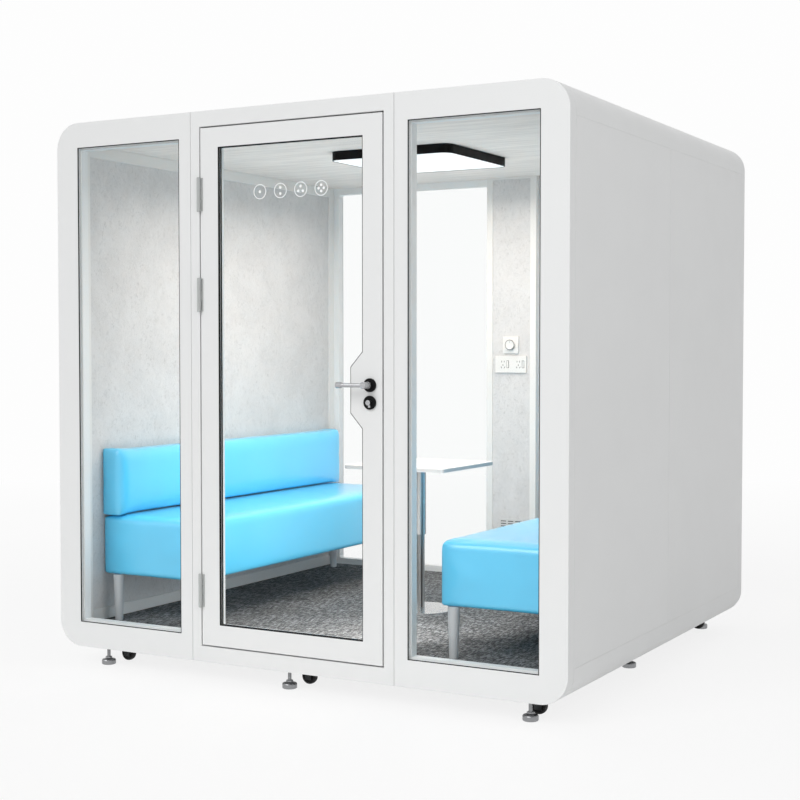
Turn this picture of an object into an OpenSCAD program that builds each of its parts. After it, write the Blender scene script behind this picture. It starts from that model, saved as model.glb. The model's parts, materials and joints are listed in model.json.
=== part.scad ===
/* [Booth] */
// Overall width
booth_w = 2350; // [2300:10:2500]
// Depth over the front and back frames
booth_d = 2150; // [2060:10:2300]
// Overall height above the ground
booth_h = 2300; // [2260:10:2450]
// Radius of the four long corners
corner_r = 110; // [80:5:130]
// Height of the shell's underside above the ground
ground_gap = 80; // [78:1:100]
// Thickness of the sheet metal skins
skin_t = 2.5; // [2:0.5:3]
// Thickness of the front and back frames
frame_wall = 55; // [54:1:70]
// Thickness of the side walls, lining included
side_wall = 90; // [80:1:110]
// Thickness of the roof
roof_wall = 80; // [75:1:100]
// Height of the floor surface above the shell's underside
floor_rise = 85; // [75:1:110]
// Distance of the horizontal panel seams from the rounded corners
seam_land = 20; // [10:1:60]
// Open width of a panel seam
seam_w = 2; // [1:0.5:4]
// Thickness of a side panel
panel_t = 25; // [15:1:30]

/* [Floor and ceiling] */
// Thickness of the floor deck
deck_t = 16; // [12:1:20]
// Thickness of the carpet
carpet_t = 6; // [4:1:10]
// Thickness of the ceiling panel
ceiling_t = 12; // [9:1:18]
// Width of the white trims round the wall felt
trim_w = 50; // [30:1:80]
// Thickness of the white trims
trim_t = 15; // [13:1:25]
// Thickness of the wall felt
felt_t = 9; // [6:0.5:12]

/* [Windows] */
// Half width of the door module, where the front frames meet
split_x = 470; // [455:1:520]
// Open joint between two front modules
module_gap = 1.5; // [1:0.5:4]
// Width of the post between the module joint and a front window
window_post = 58; // [40:1:90]
// Half width of the post between the back windows
back_post = 145; // [142:1:180]
// Distance from the inner wall face to a window opening
window_side = 22; // [15:1:60]
// Height of a window opening above the floor surface
window_low = 20; // [12:1:80]
// Distance from the ceiling down to a window opening
window_top = 25; // [15:1:80]
// Width of the lip that a pane rests against
lip_w = 10; // [6:1:15]
// Thickness of a window pane
pane_t = 10; // [8:1:12]
// Width of a window gasket
gasket_w = 3; // [2:0.5:9]
// Depth of a window gasket
gasket_t = 4; // [3:0.5:12]
// Set-back of a window gasket from the frame's face
gasket_in = 1; // [0.5:0.5:5]
// Corner radius of the back windows' lips
back_lip_r = 15; // [10:1:40]
// Free play of a pane at each edge
pane_play = 2; // [0.5:0.5:4]

/* [Door] */
// Width of the door leaf
door_w = 840; // [780:5:850]
// Thickness of the door leaf
leaf_t = 40; // [36:1:42]
// Gap round the door leaf
door_gap = 6; // [5:0.5:8]
// Depth of the door leaf's lower edge below the floor surface
leaf_drop = 15; // [13:1:18]
// Height of the door leaf's upper edge above the ceiling
leaf_over = 11; // [6:1:20]
// Width of the stop behind the leaf's edge
stop_cover = 14; // [13:1:20]
// Thickness of the seal between leaf and stop
seal_t = 4.7; // [3:0.1:6]
// Width of the seal between leaf and stop
seal_w = 12; // [8:1:12]
// Running clearance between leaf and seal
seal_gap = 0.3; // [0.3:0.1:1]
// Width of the door leaf's stiles
stile_w = 85; // [80:1:110]
// Height of the door leaf's lower rail
rail_low = 85; // [60:1:120]
// Height of the door leaf's upper rail
rail_top = 79; // [60:1:120]
// Thickness of the door glass
door_pane_t = 8; // [6:1:10]
// Depth of the groove that holds the door glass
groove_d = 8; // [5:1:10]
// Depth of the door glass behind the leaf's outer face
door_pane_in = 10; // [9:1:15]
// Width of the door glass gasket
door_gasket_w = 3; // [2:0.5:7]
// Depth of the door glass gasket
door_gasket_t = 5; // [3:0.5:8]

/* [Hinges] */
// Height of a hinge
hinge_h = 132; // [90:1:160]
// Diameter of a hinge barrel
barrel_d = 16; // [14:1:17]
// Distance of the hinge axis in front of the frame's face
axis_out = 9; // [9:0.5:12]
// Width over a hinge's two plates
hinge_w = 28; // [26:1:40]
// Thickness of a hinge plate
plate_t = 3; // [2:0.5:4]
// Diameter of a hinge pin
pin_d = 8; // [6:0.5:9]
// Radial clearance of a turning fit
run_fit = 0.05; // [0.02:0.01:0.1]
// Gap between two knuckles
knuckle_gap = 0.5; // [0.3:0.1:1]
// Distance from the leaf's upper edge down to the top hinge's middle
hinge_top_down = 264; // [150:1:350]
// Distance from the leaf's upper edge down to the second hinge's middle
hinge_mid_down = 666; // [520:1:900]
// Distance from the leaf's lower edge up to the lower hinge's middle
hinge_low_up = 221; // [120:1:400]

/* [Lock] */
// Height of the lever above the floor surface
lever_h = 1047; // [950:1:1150]
// Distance of the lever's axis from the leaf's edge
backset = 52; // [50:1:60]
// Distance from the lever's axis down to the lock's axis
lock_pitch = 66; // [60:1:70]
// Diameter of a rosette
rosette_d = 52; // [44:1:56]
// Thickness of a rosette
rosette_t = 8; // [6:1:10]
// Diameter of the lever's bar
lever_d = 16; // [12:1:18]
// Diameter of the rounded end of the lever
lever_end_d = 18; // [18:1:22]
// Length of the lever from its axis
lever_l = 120; // [100:1:140]
// Distance of the lever's bar from the leaf's face
lever_out = 51; // [45:1:60]
// Diameter of the lever's spindle
spindle_d = 10; // [8:1:12]
// Depth of the bulge in the stile that holds the lock
bulge_d = 52; // [40:1:60]
// Straight height of the bulge
bulge_h = 174; // [174:1:240]
// Height of the bulge's slanted ends
bulge_run = 58; // [30:1:90]
// Distance of the bulge's middle below the lever's axis
bulge_down = 20; // [15:1:25]
// Width of the lock case
case_w = 108; // [102:1:110]
// Height of the lock case
case_h = 160; // [155:1:170]
// Thickness of the lock case
case_t = 20; // [20:1:22]
// Wall of the lock case
case_wall = 2; // [1.5:0.5:3]
// Thickness of the latch and the dead bolt
bolt_t = 12; // [8:1:14]
// Height of the latch
latch_h = 20; // [14:1:24]
// Height of the dead bolt
bolt_h = 24; // [16:1:26]
// Reach of the latch past the leaf's edge
latch_out = 4.5; // [3:0.5:4.5]
// Clearance round a sliding bolt
slide_fit = 0.3; // [0.2:0.1:0.5]
// Throw of the dead bolt
bolt_throw = 20; // [14:1:22]
// Diameter of the bolt's turning pieces in the rosettes
turn_d = 20; // [14:1:22]
// Reach of the outer turning piece past its rosette
plug_out = 12; // [2:1:16]
// Length of the thumb turn's grip
thumb_l = 34; // [24:1:40]
// Height of the thumb turn's grip over its rosette
thumb_out = 18; // [12:1:24]
// Height of the strike plate
strike_h = 150; // [140:1:170]
// Width of the strike plate
strike_w = 24; // [20:1:28]
// Thickness of the strike plate
strike_t = 2; // [1.5:0.5:3]

/* [Base] */
// Width of a base beam
beam_w = 30; // [26:1:40]
// Wall of a base beam
beam_wall = 3; // [2:0.5:4]
// Gap where two profiles of the base or the trims meet
weld_gap = 0.2; // [0.1:0.1:0.5]
// Diameter of a levelling foot's pad
pad_d = 60; // [50:1:80]
// Height of a levelling foot's pad
pad_h = 18; // [14:1:22]
// Diameter of a levelling foot's stem
stem_d = 16; // [12:1:20]
// Length of a levelling foot's stem
stem_l = 107; // [96:1:107]
// Diameter of the collar on a levelling foot
collar_d = 28; // [22:1:34]
// Height of the collar on a levelling foot
collar_h = 8; // [5:1:12]
// Distance of the left feet from the booth's side
foot_left = 205; // [170:1:260]
// Distance of the right feet from the booth's side
foot_right = 175; // [170:1:260]
// Place of the middle feet across the booth
foot_mid = -45; // [-60:1:-45]
// Diameter of a transport wheel
wheel_d = 64; // [50:1:66]
// Width of a transport wheel
wheel_w = 24; // [18:1:30]
// Diameter of a wheel axle
axle_d = 10; // [8:1:12]
// Clearance between the wheels and the ground
wheel_lift = 10; // [8:1:12]
// Distance of the left wheels from the booth's side
wheel_left = 260; // [250:1:300]
// Distance of the right wheels from the booth's side
wheel_right = 170; // [165:1:240]
// Place of the middle wheels across the booth
wheel_mid = 8; // [8:1:40]
// Distance of the wheels from the front and back faces
wheel_in = 137; // [130:1:170]
// Thickness of a wheel fork's cheek
fork_t = 4; // [3:1:6]

/* [Sofas] */
// Depth of a seat
seat_d = 525; // [440:5:540]
// Height of a seat's underside above the floor surface
seat_low = 200; // [160:1:240]
// Height of a seat at its edge
seat_h = 248; // [200:1:270]
// Rise of a seat's middle over its edge
seat_crown = 12; // [6:1:20]
// Radius of a seat's upper edge
seat_r = 28; // [20:1:40]
// Thickness of a back cushion at its edge
back_t = 98; // [90:1:120]
// Height of a back cushion
back_h = 293; // [240:1:340]
// Rise of a back cushion's middle over its edge
back_crown = 12; // [6:1:16]
// Radius of a back cushion's front edge
back_r = 38; // [25:1:45]
// Radius of a cushion's corners
cushion_corner = 30; // [20:1:45]
// Depth to which a cushion's sides draw in
side_draw = 5; // [2:1:8]
// Distance of the sofas from the inside of the front frame
sofa_front = 115; // [80:1:160]
// Distance of the sofas from the inside of the back frame
sofa_back = 85; // [60:1:160]
// Clearance round a soft piece
soft_gap = 0.3; // [0.3:0.1:1]
// Upper diameter of a sofa leg
leg_top_d = 48; // [40:1:54]
// Lower diameter of a sofa leg
leg_low_d = 34; // [24:1:40]
// Distance of a front leg's axis from the seat's front
leg_in = 55; // [40:1:90]
// Distance of a leg's axis from the seat's ends
leg_end = 30; // [28:1:60]
// Distance of a rear leg's axis from the seat's rear
leg_rear = 70; // [40:1:100]

/* [Table] */
// Side of the square table top
table_w = 500; // [400:10:600]
// Thickness of the table top
table_t = 18; // [12:1:30]
// Height of the table top above the floor surface
table_h = 665; // [600:5:720]
// Corner radius of the table top
table_r = 12; // [4:1:40]
// Diameter of the table column's upper sleeve
sleeve_d = 56; // [52:1:70]
// Diameter of the table column
column_d = 46; // [36:1:50]
// Height of the sleeve's lower end above the floor surface
sleeve_low = 342; // [200:1:450]
// Diameter of the table's foot disc
disc_d = 320; // [280:5:400]
// Thickness of the foot disc at its rim
disc_rim = 5; // [3:1:8]
// Rise of the foot disc at its middle
disc_h = 12; // [10:1:20]

/* [Service column] */
// Half width of the service column
column_x = 138; // [130:1:140]
// Depth of the service column
column_out = 40; // [40:1:60]
// Thickness of the service column's walls
column_t = 12; // [11:1:14]
// Width of the white margins beside the column's felt
column_trim = 33; // [20:1:40]
// Depth of the recess for the column's felt
recess_d = 9; // [8:0.5:10]
// Thickness of the column's felt
inlay_t = 6; // [4:0.5:7]
// Side of a control plate
plate_w = 86; // [80:1:90]
// Thickness of a control plate
plate_out = 8; // [6:1:12]
// Height of the dimmer's middle above the floor surface
dimmer_h = 1202; // [1195:1:1300]
// Height of the sockets' middle above the floor surface
socket_h = 1103; // [1000:1:1108]
// Diameter of the dimmer knob
knob_d = 50; // [30:1:60]
// Height of the dimmer knob
knob_out = 14; // [8:1:20]
// Diameter of the dimmer's shaft
shaft_d = 6; // [4:1:8]
// Side of a vent grille
grille_w = 130; // [126:1:150]
// Thickness of a vent grille
grille_t = 3; // [2:0.5:4]
// Height of the vent's middle above the floor surface
vent_h = 245; // [200:1:500]
// Diameter of the air duct
duct_d = 112; // [100:1:114]
// Side of the fan housing
fan_w = 120; // [118:1:125]
// Depth of the fan housing
fan_t = 25; // [24:1:27]
// Diameter of the fan rotor's hub
hub_d = 38; // [30:1:46]
// Number of fan blades
blades = 7; // [5:1:9]
// Gap between the fan blades and their housing
blade_gap = 1.5; // [1:0.5:3]

/* [Lamp] */
// Side of the square ceiling lamp
lamp_w = 600; // [400:10:700]
// Depth of the lamp below the ceiling
lamp_t = 40; // [30:1:60]
// Corner radius of the lamp
lamp_r = 50; // [20:5:80]
// Width of the lamp's rim
lamp_rim = 4; // [3:1:12]
// Thickness of the lamp's diffuser
diffuser_t = 6; // [3:1:10]

/* [Hidden] */
$fn = 72;

// Length by which a cut runs past the face that it opens
past = 1;
// The origin lies below the middle of the box that also holds the outer lever
reach = lever_out + lever_end_d / 2;
front_y = (reach - booth_d) / 2;
half_w = booth_w / 2;
inner_x = half_w - side_wall;
inner_y0 = frame_wall;
inner_y1 = booth_d - frame_wall;
floor_z = ground_gap + floor_rise;
ceiling_z = booth_h - roof_wall;
deck_z1 = floor_z - carpet_t;
deck_z0 = deck_z1 - deck_t;
beam_z0 = ground_gap + skin_t;
lining_x = inner_x + trim_t;
panel_x = half_w - panel_t;
flat_x = half_w - corner_r;
seam_low = ground_gap + corner_r + seam_land;
seam_top = booth_h - corner_r - seam_land;
mid_y = booth_d / 2;

// Window openings, as low and high corners in x and z
win_z0 = floor_z + window_low;
win_z1 = ceiling_z - window_top;
win_x1 = inner_x - window_side;
front_win_x0 = split_x + window_post;
pane_y0 = gasket_in + gasket_t;
pane_y1 = pane_y0 + pane_t;

// Door leaf, its opening and the stop behind it
leaf_x = door_w / 2;
leaf_z0 = floor_z - leaf_drop;
leaf_z1 = ceiling_z + leaf_over;
stop_y = leaf_t + seal_gap + seal_t;
stop_x = leaf_x - stop_cover;
stop_z0 = leaf_z0 + stop_cover + past;
stop_z1 = leaf_z1 - stop_cover;
light_x = leaf_x - stile_w;
light_z0 = leaf_z0 + rail_low;
light_z1 = leaf_z1 - rail_top;
hinge_x = -(leaf_x + door_gap / 2);
hinge_zs = [leaf_z1 - hinge_top_down, leaf_z1 - hinge_mid_down, leaf_z0 + hinge_low_up];
knuckle_h = hinge_h / 3;

// Lock
lever_x = leaf_x - backset;
lever_z = floor_z + lever_h;
turn_z = lever_z - lock_pitch;
bulge_z = lever_z - bulge_down;
bolt_y = leaf_t / 2;
bolt_clear = 3;
bolt_x0 = lever_x + spindle_d / 2 + bolt_clear + latch_out;
jamb_x = leaf_x + door_gap;

// Levelling feet and transport wheels
beam_y1 = booth_d - frame_wall - beam_w / 2;
foot_xs = [-(half_w - foot_left), foot_mid, half_w - foot_right];
foot_ys = [frame_wall + beam_w / 2, mid_y + beam_w / 2, beam_y1];
foot_at = [
    [foot_xs[0], foot_ys[0]], [foot_xs[1], foot_ys[0]], [foot_xs[2], foot_ys[0]],
    [foot_xs[0], foot_ys[1]], [foot_xs[2], foot_ys[1]],
    [foot_xs[0], foot_ys[2]], [foot_xs[1], foot_ys[2]], [foot_xs[2], foot_ys[2]]
];
wheel_xs = [-(half_w - wheel_left), wheel_mid, half_w - wheel_right];
wheel_at = [for (y = [wheel_in, booth_d - wheel_in], x = wheel_xs) [x, y]];
axle_z = wheel_lift + wheel_d / 2;
wheel_play = 1;
fork_y = wheel_w / 2 + wheel_play + fork_t;
fork_w = 30;

// Sofas
seat_z0 = floor_z + seat_low + soft_gap;
felt_x = lining_x - felt_t;
sofa_x1 = felt_x - soft_gap;
sofa_x0 = sofa_x1 - seat_d;
sofa_y0 = inner_y0 + sofa_front;
sofa_y1 = inner_y1 - sofa_back;
sofa_l = sofa_y1 - sofa_y0;
back_z0 = seat_z0 + seat_h + 0.75 * seat_crown;

// Table
table_z1 = floor_z + table_h;
table_z0 = table_z1 - table_t;

// Service column
column_y0 = inner_y1 - column_out;
inlay_y1 = column_y0 + recess_d;
inlay_y0 = inlay_y1 - inlay_t;
inlay_x = column_x - column_trim;
vent_z = floor_z + vent_h;
dimmer_z = floor_z + dimmer_h;
socket_z = floor_z + socket_h;
fan_y0 = column_y0 + column_t;
fan_y1 = fan_y0 + fan_t;

// Lamp
lamp_z = ceiling_z - lamp_t;

// Frames of reference and plain solids

// Moves a piece from depths behind the front face to the booth's origin
module booth() {
    translate([0, front_y, 0]) children();
}

// Box between two corners
module slab(x, y, z) {
    translate([x[0], y[0], z[0]]) cube([x[1] - x[0], y[1] - y[0], z[1] - z[0]]);
}

// Round bar along the depth, with its axis at x and z
module bar_y(x, z, d, y) {
    translate([x, y[0], z]) rotate([-90, 0, 0]) cylinder(d = d, h = y[1] - y[0]);
}

// Plate from an outline in x and z
module along_y(y) {
    translate([0, y[1], 0]) rotate([90, 0, 0]) linear_extrude(y[1] - y[0]) children();
}

module both_sides() {
    children();
    mirror([1, 0, 0]) children();
}

module round_rect(w, h, r) {
    translate([r, 0]) square([w - 2 * r, h]);
    translate([0, r]) square([w, h - 2 * r]);
    for (x = [r, w - r], y = [r, h - r]) translate([x, y]) circle(r);
}

// Outline of the booth from the front
module outline(inset = 0) {
    w = booth_w - 2 * inset;
    h = booth_h - ground_gap - 2 * inset;
    translate([-w / 2, ground_gap + inset]) round_rect(w, h, corner_r - inset);
}

// Outer shell and structure

// Sheet metal sleeve between two heights
module sleeve(z) {
    difference() {
        intersection() {
            along_y([inner_y0, inner_y1]) outline();
            slab([-half_w, half_w], [inner_y0, inner_y1], z);
        }
        along_y([inner_y0 - past, inner_y1 + past]) outline(skin_t);
    }
}

module lower_shell() {
    fork_play = 3;
    color("white") booth() difference() {
        sleeve([ground_gap, seam_low - seam_w / 2]);
        for (p = foot_at) {
            translate([p[0], p[1], ground_gap - past]) cylinder(d = stem_d + 2, h = skin_t + 2 * past);
        }
        for (p = wheel_at) {
            slab([p[0] - fork_w / 2 - fork_play, p[0] + fork_w / 2 + fork_play],
                [p[1] - fork_y - fork_play, p[1] + fork_y + fork_play],
                [ground_gap - past, beam_z0 + past]);
        }
    }
}

module roof_shell() {
    color("white") booth() sleeve([seam_top + seam_w / 2, booth_h]);
}

// Filled cassettes of the right side, a front one and a rear one
module side_panels() {
    for (y = [[inner_y0, mid_y - seam_w / 2], [mid_y + seam_w / 2, inner_y1]]) {
        slab([panel_x, half_w], y, [seam_low + seam_w / 2, seam_top - seam_w / 2]);
    }
}

module left_side_panels() {
    color("gainsboro") booth() mirror([1, 0, 0]) side_panels();
}

module right_side_panels() {
    color("gainsboro") booth() side_panels();
}

module wall_cores() {
    roof_core_x = flat_x - seam_w;
    color("tan") booth() {
        both_sides() slab([lining_x, panel_x], [inner_y0, inner_y1], [deck_z1, ceiling_z]);
        slab([-roof_core_x, roof_core_x], [inner_y0, inner_y1], [ceiling_z + ceiling_t, booth_h - skin_t]);
    }
}

// Rectangular tube in the base, open at its ends
module beam_x(y) {
    difference() {
        slab([-flat_x, flat_x], [y - beam_w / 2, y + beam_w / 2], [beam_z0, deck_z0]);
        slab([-flat_x - past, flat_x + past], [y - beam_w / 2 + beam_wall, y + beam_w / 2 - beam_wall],
            [beam_z0 + beam_wall, deck_z0 - beam_wall]);
    }
}

// The same along the booth's depth, between two cross beams
module beam_y(x, y) {
    difference() {
        slab([x - beam_w, x], y, [beam_z0, deck_z0]);
        slab([x - beam_w + beam_wall, x - beam_wall], [y[0] - past, y[1] + past],
            [beam_z0 + beam_wall, deck_z0 - beam_wall]);
    }
}

// Fork that holds a transport wheel on its axle
module fork(p) {
    beam = p[1] < mid_y ? foot_ys[0] : foot_ys[2];
    cheek_low = 14;
    for (s = [-1, 1]) {
        slab([p[0] - fork_w / 2, p[0] + fork_w / 2],
            s > 0 ? [p[1] + fork_y - fork_t, p[1] + fork_y] : [p[1] - fork_y, p[1] - fork_y + fork_t],
            [axle_z - cheek_low, deck_z0]);
    }
    bar_y(p[0], axle_z, axle_d, [p[1] - fork_y, p[1] + fork_y]);
    slab([p[0] - fork_w / 2, p[0] + fork_w / 2],
        [min(beam, p[1] - fork_y), max(beam, p[1] + fork_y)], [deck_z0 - fork_t, deck_z0]);
}

module base_frame() {
    bush_d = beam_w - 4;
    beam_end = beam_w / 2 + weld_gap;
    stem_bore = stem_d + 2 * run_fit;
    color("silver") booth() difference() {
        union() {
            for (y = foot_ys) beam_x(y);
            for (i = [0, 1]) {
                both_sides() beam_y(flat_x, [foot_ys[i] + beam_end, foot_ys[i + 1] - beam_end]);
            }
            for (p = foot_at) translate([p[0], p[1], beam_z0]) cylinder(d = bush_d, h = deck_z0 - beam_z0);
            for (p = wheel_at) fork(p);
        }
        for (p = foot_at) {
            translate([p[0], p[1], beam_z0 - past])
                cylinder(d = stem_bore, h = deck_z0 - beam_z0 + 2 * past);
        }
    }
}

module floor_deck() {
    color("burlywood") booth() slab([-panel_x, panel_x], [inner_y0, inner_y1], [deck_z0, deck_z1]);
}

module carpet() {
    color("dimgray") booth() slab([-inner_x, inner_x], [inner_y0, inner_y1], [deck_z1, floor_z]);
}

module ceiling_panel() {
    color("lightsteelblue") booth()
        slab([-panel_x, panel_x], [inner_y0, inner_y1], [ceiling_z, ceiling_z + ceiling_t]);
}

// Front and back frames with their windows

// Opening for one window, with its lip on the room side
module window_cut(x) {
    slab(x, [-past, pane_y1], [win_z0, win_z1]);
    slab([x[0] + lip_w, x[1] - lip_w], [0, frame_wall + past], [win_z0 + lip_w, win_z1 - lip_w]);
}

// The same with rounded corners in its lip
module rounded_window_cut(x) {
    slab(x, [-past, pane_y1], [win_z0, win_z1]);
    along_y([0, frame_wall + past]) translate([x[0] + lip_w, win_z0 + lip_w])
        round_rect(x[1] - x[0] - 2 * lip_w, win_z1 - win_z0 - 2 * lip_w, back_lip_r);
}

module window_pane(x) {
    slab([x[0] + pane_play, x[1] - pane_play], [pane_y0, pane_y1], [win_z0 + pane_play, win_z1 - pane_play]);
}

module window_gasket(x) {
    difference() {
        slab(x, [gasket_in, pane_y0], [win_z0, win_z1]);
        slab([x[0] + gasket_w, x[1] - gasket_w], [gasket_in - past, pane_y0 + past],
            [win_z0 + gasket_w, win_z1 - gasket_w]);
    }
}

// Turns a piece of the front frame into its twin in the back frame
module at_back() {
    translate([0, booth_d, 0]) mirror([0, 1, 0]) children();
}

module side_front_frame() {
    difference() {
        intersection() {
            along_y([0, frame_wall]) outline();
            slab([split_x + module_gap / 2, half_w], [0, frame_wall], [ground_gap, booth_h]);
        }
        window_cut([front_win_x0, win_x1]);
    }
}

module front_left_frame() {
    color("white") booth() mirror([1, 0, 0]) side_front_frame();
}

module front_right_frame() {
    color("white") booth() side_front_frame();
}

module back_frame() {
    color("white") booth() difference() {
        along_y([inner_y1, booth_d]) outline();
        at_back() both_sides() rounded_window_cut([back_post, win_x1]);
        bar_y(0, vent_z, duct_d, [inner_y1 - past, booth_d + past]);
        slab([-grille_w / 2, grille_w / 2], [booth_d - grille_t, booth_d + past],
            [vent_z - grille_w / 2, vent_z + grille_w / 2]);
    }
}

module window_glass() {
    color("lightcyan", 0.4) booth() both_sides() {
        window_pane([front_win_x0, win_x1]);
        at_back() window_pane([back_post, win_x1]);
    }
}

module glazing_gaskets() {
    color("black") booth() both_sides() {
        window_gasket([front_win_x0, win_x1]);
        at_back() window_gasket([back_post, win_x1]);
    }
}

module door_frame() {
    frame_x = split_x - module_gap / 2;
    pocket_play = 2;
    color("white") booth() difference() {
        slab([-frame_x, frame_x], [0, frame_wall], [ground_gap, booth_h]);
        slab([-jamb_x, jamb_x], [-past, frame_wall + past], [leaf_z0 - door_gap, leaf_z1 + door_gap]);
        slab([jamb_x - past, jamb_x + strike_t], [bolt_y - strike_w / 2, bolt_y + strike_w / 2],
            [bulge_z - strike_h / 2, bulge_z + strike_h / 2]);
        slab([jamb_x - past, frame_x + past],
            [bolt_y - bolt_t / 2 - pocket_play, bolt_y + bolt_t / 2 + pocket_play],
            [turn_z - bolt_h / 2 - pocket_play, lever_z + latch_h / 2 + pocket_play]);
    }
}

// Ledge that the closed leaf rests against
module door_stop() {
    color("white") booth() difference() {
        slab([-jamb_x, jamb_x], [stop_y, frame_wall], [leaf_z0 - door_gap, leaf_z1 + door_gap]);
        slab([-stop_x, stop_x], [stop_y - past, frame_wall + past], [stop_z0, stop_z1]);
    }
}

module strike_plate() {
    hole_play = 2;
    color("silver") booth() difference() {
        slab([jamb_x, jamb_x + strike_t], [bolt_y - strike_w / 2, bolt_y + strike_w / 2],
            [bulge_z - strike_h / 2, bulge_z + strike_h / 2]);
        for (b = [[turn_z, bolt_h], [lever_z, latch_h]]) {
            slab([jamb_x - past, jamb_x + strike_t + past],
                [bolt_y - bolt_t / 2 - hole_play, bolt_y + bolt_t / 2 + hole_play],
                [b[0] - b[1] / 2 - hole_play, b[0] + b[1] / 2 + hole_play]);
        }
    }
}

module door_seal() {
    color("black") booth() difference() {
        slab([-leaf_x, leaf_x], [stop_y - seal_t, stop_y], [leaf_z0, leaf_z1]);
        slab([-leaf_x + seal_w, leaf_x - seal_w], [0, stop_y + past], [leaf_z0 + seal_w, leaf_z1 - seal_w]);
    }
}

// Door leaf and its hinges

// Outline of the door glass, grown on every side
module door_light(grow) {
    k = grow * tan(atan2(bulge_d, bulge_run) / 2);
    low = bulge_z - bulge_h / 2 + k;
    high = bulge_z + bulge_h / 2 - k;
    right = light_x + grow;
    polygon([
        [-right, light_z0 - grow], [right, light_z0 - grow],
        [right, low - bulge_run], [right - bulge_d, low],
        [right - bulge_d, high], [right, high + bulge_run],
        [right, light_z1 + grow], [-right, light_z1 + grow]
    ]);
}

module door_leaf() {
    color("white") booth() difference() {
        slab([-leaf_x, leaf_x], [0, leaf_t], [leaf_z0, leaf_z1]);
        along_y([-past, leaf_t + past]) door_light(0);
        along_y([door_pane_in, door_pane_in + door_pane_t]) door_light(groove_d);
        slab([leaf_x - case_w, leaf_x + past], [bolt_y - case_t / 2, bolt_y + case_t / 2],
            [bulge_z - case_h / 2, bulge_z + case_h / 2]);
        bar_y(lever_x, lever_z, spindle_d + 2, [-past, leaf_t + past]);
        bar_y(lever_x, turn_z, spindle_d + 2, [-past, leaf_t + past]);
    }
}

module door_glass() {
    color("lightcyan", 0.4) booth()
        along_y([door_pane_in, door_pane_in + door_pane_t]) door_light(groove_d - 1);
}

module door_gasket() {
    back = door_pane_in + door_pane_t;
    front = door_pane_in - door_gasket_t;
    color("black") booth() for (y = [[front, door_pane_in], [back, back + door_gasket_t]]) {
        along_y(y) difference() {
            door_light(0);
            door_light(-door_gasket_w);
        }
    }
}

// Plate and web that carry a hinge knuckle, on the side where s points
module hinge_half(s, z, knuckles) {
    swing_play = 0.4;
    plate_x0 = barrel_d / 2 + swing_play;
    web_y0 = -axis_out + barrel_d / 2 - plate_t;
    x_at = function(a, b) s > 0 ? [hinge_x + a, hinge_x + b] : [hinge_x - b, hinge_x - a];
    slab(x_at(plate_x0, hinge_w / 2), [-plate_t, 0], [z - hinge_h / 2, z + hinge_h / 2]);
    for (k = knuckles) {
        h = [z + (k - 0.5) * knuckle_h + knuckle_gap / 2, z + (k + 0.5) * knuckle_h - knuckle_gap / 2];
        slab(x_at(pin_d / 2 + 1, hinge_w / 2), [web_y0, 0], h);
        translate([hinge_x, -axis_out, h[0]]) cylinder(d = barrel_d, h = h[1] - h[0]);
    }
}

module frame_hinges() {
    color("gray") booth() for (z = hinge_zs) {
        hinge_half(-1, z, [-1, 1]);
        translate([hinge_x, -axis_out, z - hinge_h / 2 + knuckle_gap])
            cylinder(d = pin_d, h = hinge_h - 2 * knuckle_gap);
    }
}

module door_hinges() {
    color("gray") booth() difference() {
        for (z = hinge_zs) hinge_half(1, z, [0]);
        for (z = hinge_zs) {
            translate([hinge_x, -axis_out, z - knuckle_h])
                cylinder(d = pin_d + 2 * run_fit, h = 2 * knuckle_h);
        }
    }
}

// Lever, lock and bolts

// Lever on one face: neck, bar and rounded end
module lever(face, s) {
    y = face + s * lever_out;
    bar_y(lever_x, lever_z, lever_d, s > 0 ? [face, y] : [y, face]);
    translate([lever_x, y, lever_z]) sphere(d = lever_d);
    translate([lever_x - lever_l + lever_end_d / 2, y, lever_z]) {
        rotate([0, 90, 0]) cylinder(d = lever_d, h = lever_l - lever_end_d / 2);
        sphere(d = lever_end_d);
    }
}

module lever_handle() {
    color("dimgray") booth() {
        lever(0, -1);
        lever(leaf_t, 1);
        bar_y(lever_x, lever_z, spindle_d, [-past, leaf_t + past]);
    }
}

module lock_set() {
    case_z = [bulge_z - case_h / 2, bulge_z + case_h / 2];
    color("black") booth() difference() {
        union() {
            for (z = [lever_z, turn_z], y = [[-rosette_t, 0], [leaf_t, leaf_t + rosette_t]]) {
                bar_y(lever_x, z, rosette_d, y);
            }
            difference() {
                slab([leaf_x - case_w, leaf_x], [bolt_y - case_t / 2, bolt_y + case_t / 2], case_z);
                slab([leaf_x - case_w + case_wall, leaf_x - case_wall],
                    [bolt_y - case_t / 2 + case_wall, bolt_y + case_t / 2 - case_wall],
                    [case_z[0] + case_wall, case_z[1] - case_wall]);
            }
        }
        bar_y(lever_x, lever_z, lever_d + 2 * run_fit, [-rosette_t - past, 0]);
        bar_y(lever_x, lever_z, lever_d + 2 * run_fit, [leaf_t, leaf_t + rosette_t + past]);
        bar_y(lever_x, lever_z, spindle_d + 2 * run_fit, [-past, leaf_t + past]);
        bar_y(lever_x, turn_z, turn_d + 2 * run_fit, [-rosette_t - past, 0]);
        bar_y(lever_x, turn_z, turn_d + 2 * run_fit, [leaf_t, leaf_t + rosette_t + past]);
        bar_y(lever_x, turn_z, spindle_d + 2 * run_fit, [-past, leaf_t + past]);
        for (b = [[turn_z, bolt_h], [lever_z, latch_h]]) {
            slab([leaf_x - case_wall - past, leaf_x + past],
                [bolt_y - bolt_t / 2 - slide_fit, bolt_y + bolt_t / 2 + slide_fit],
                [b[0] - b[1] / 2 - slide_fit, b[0] + b[1] / 2 + slide_fit]);
        }
    }
}

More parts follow.
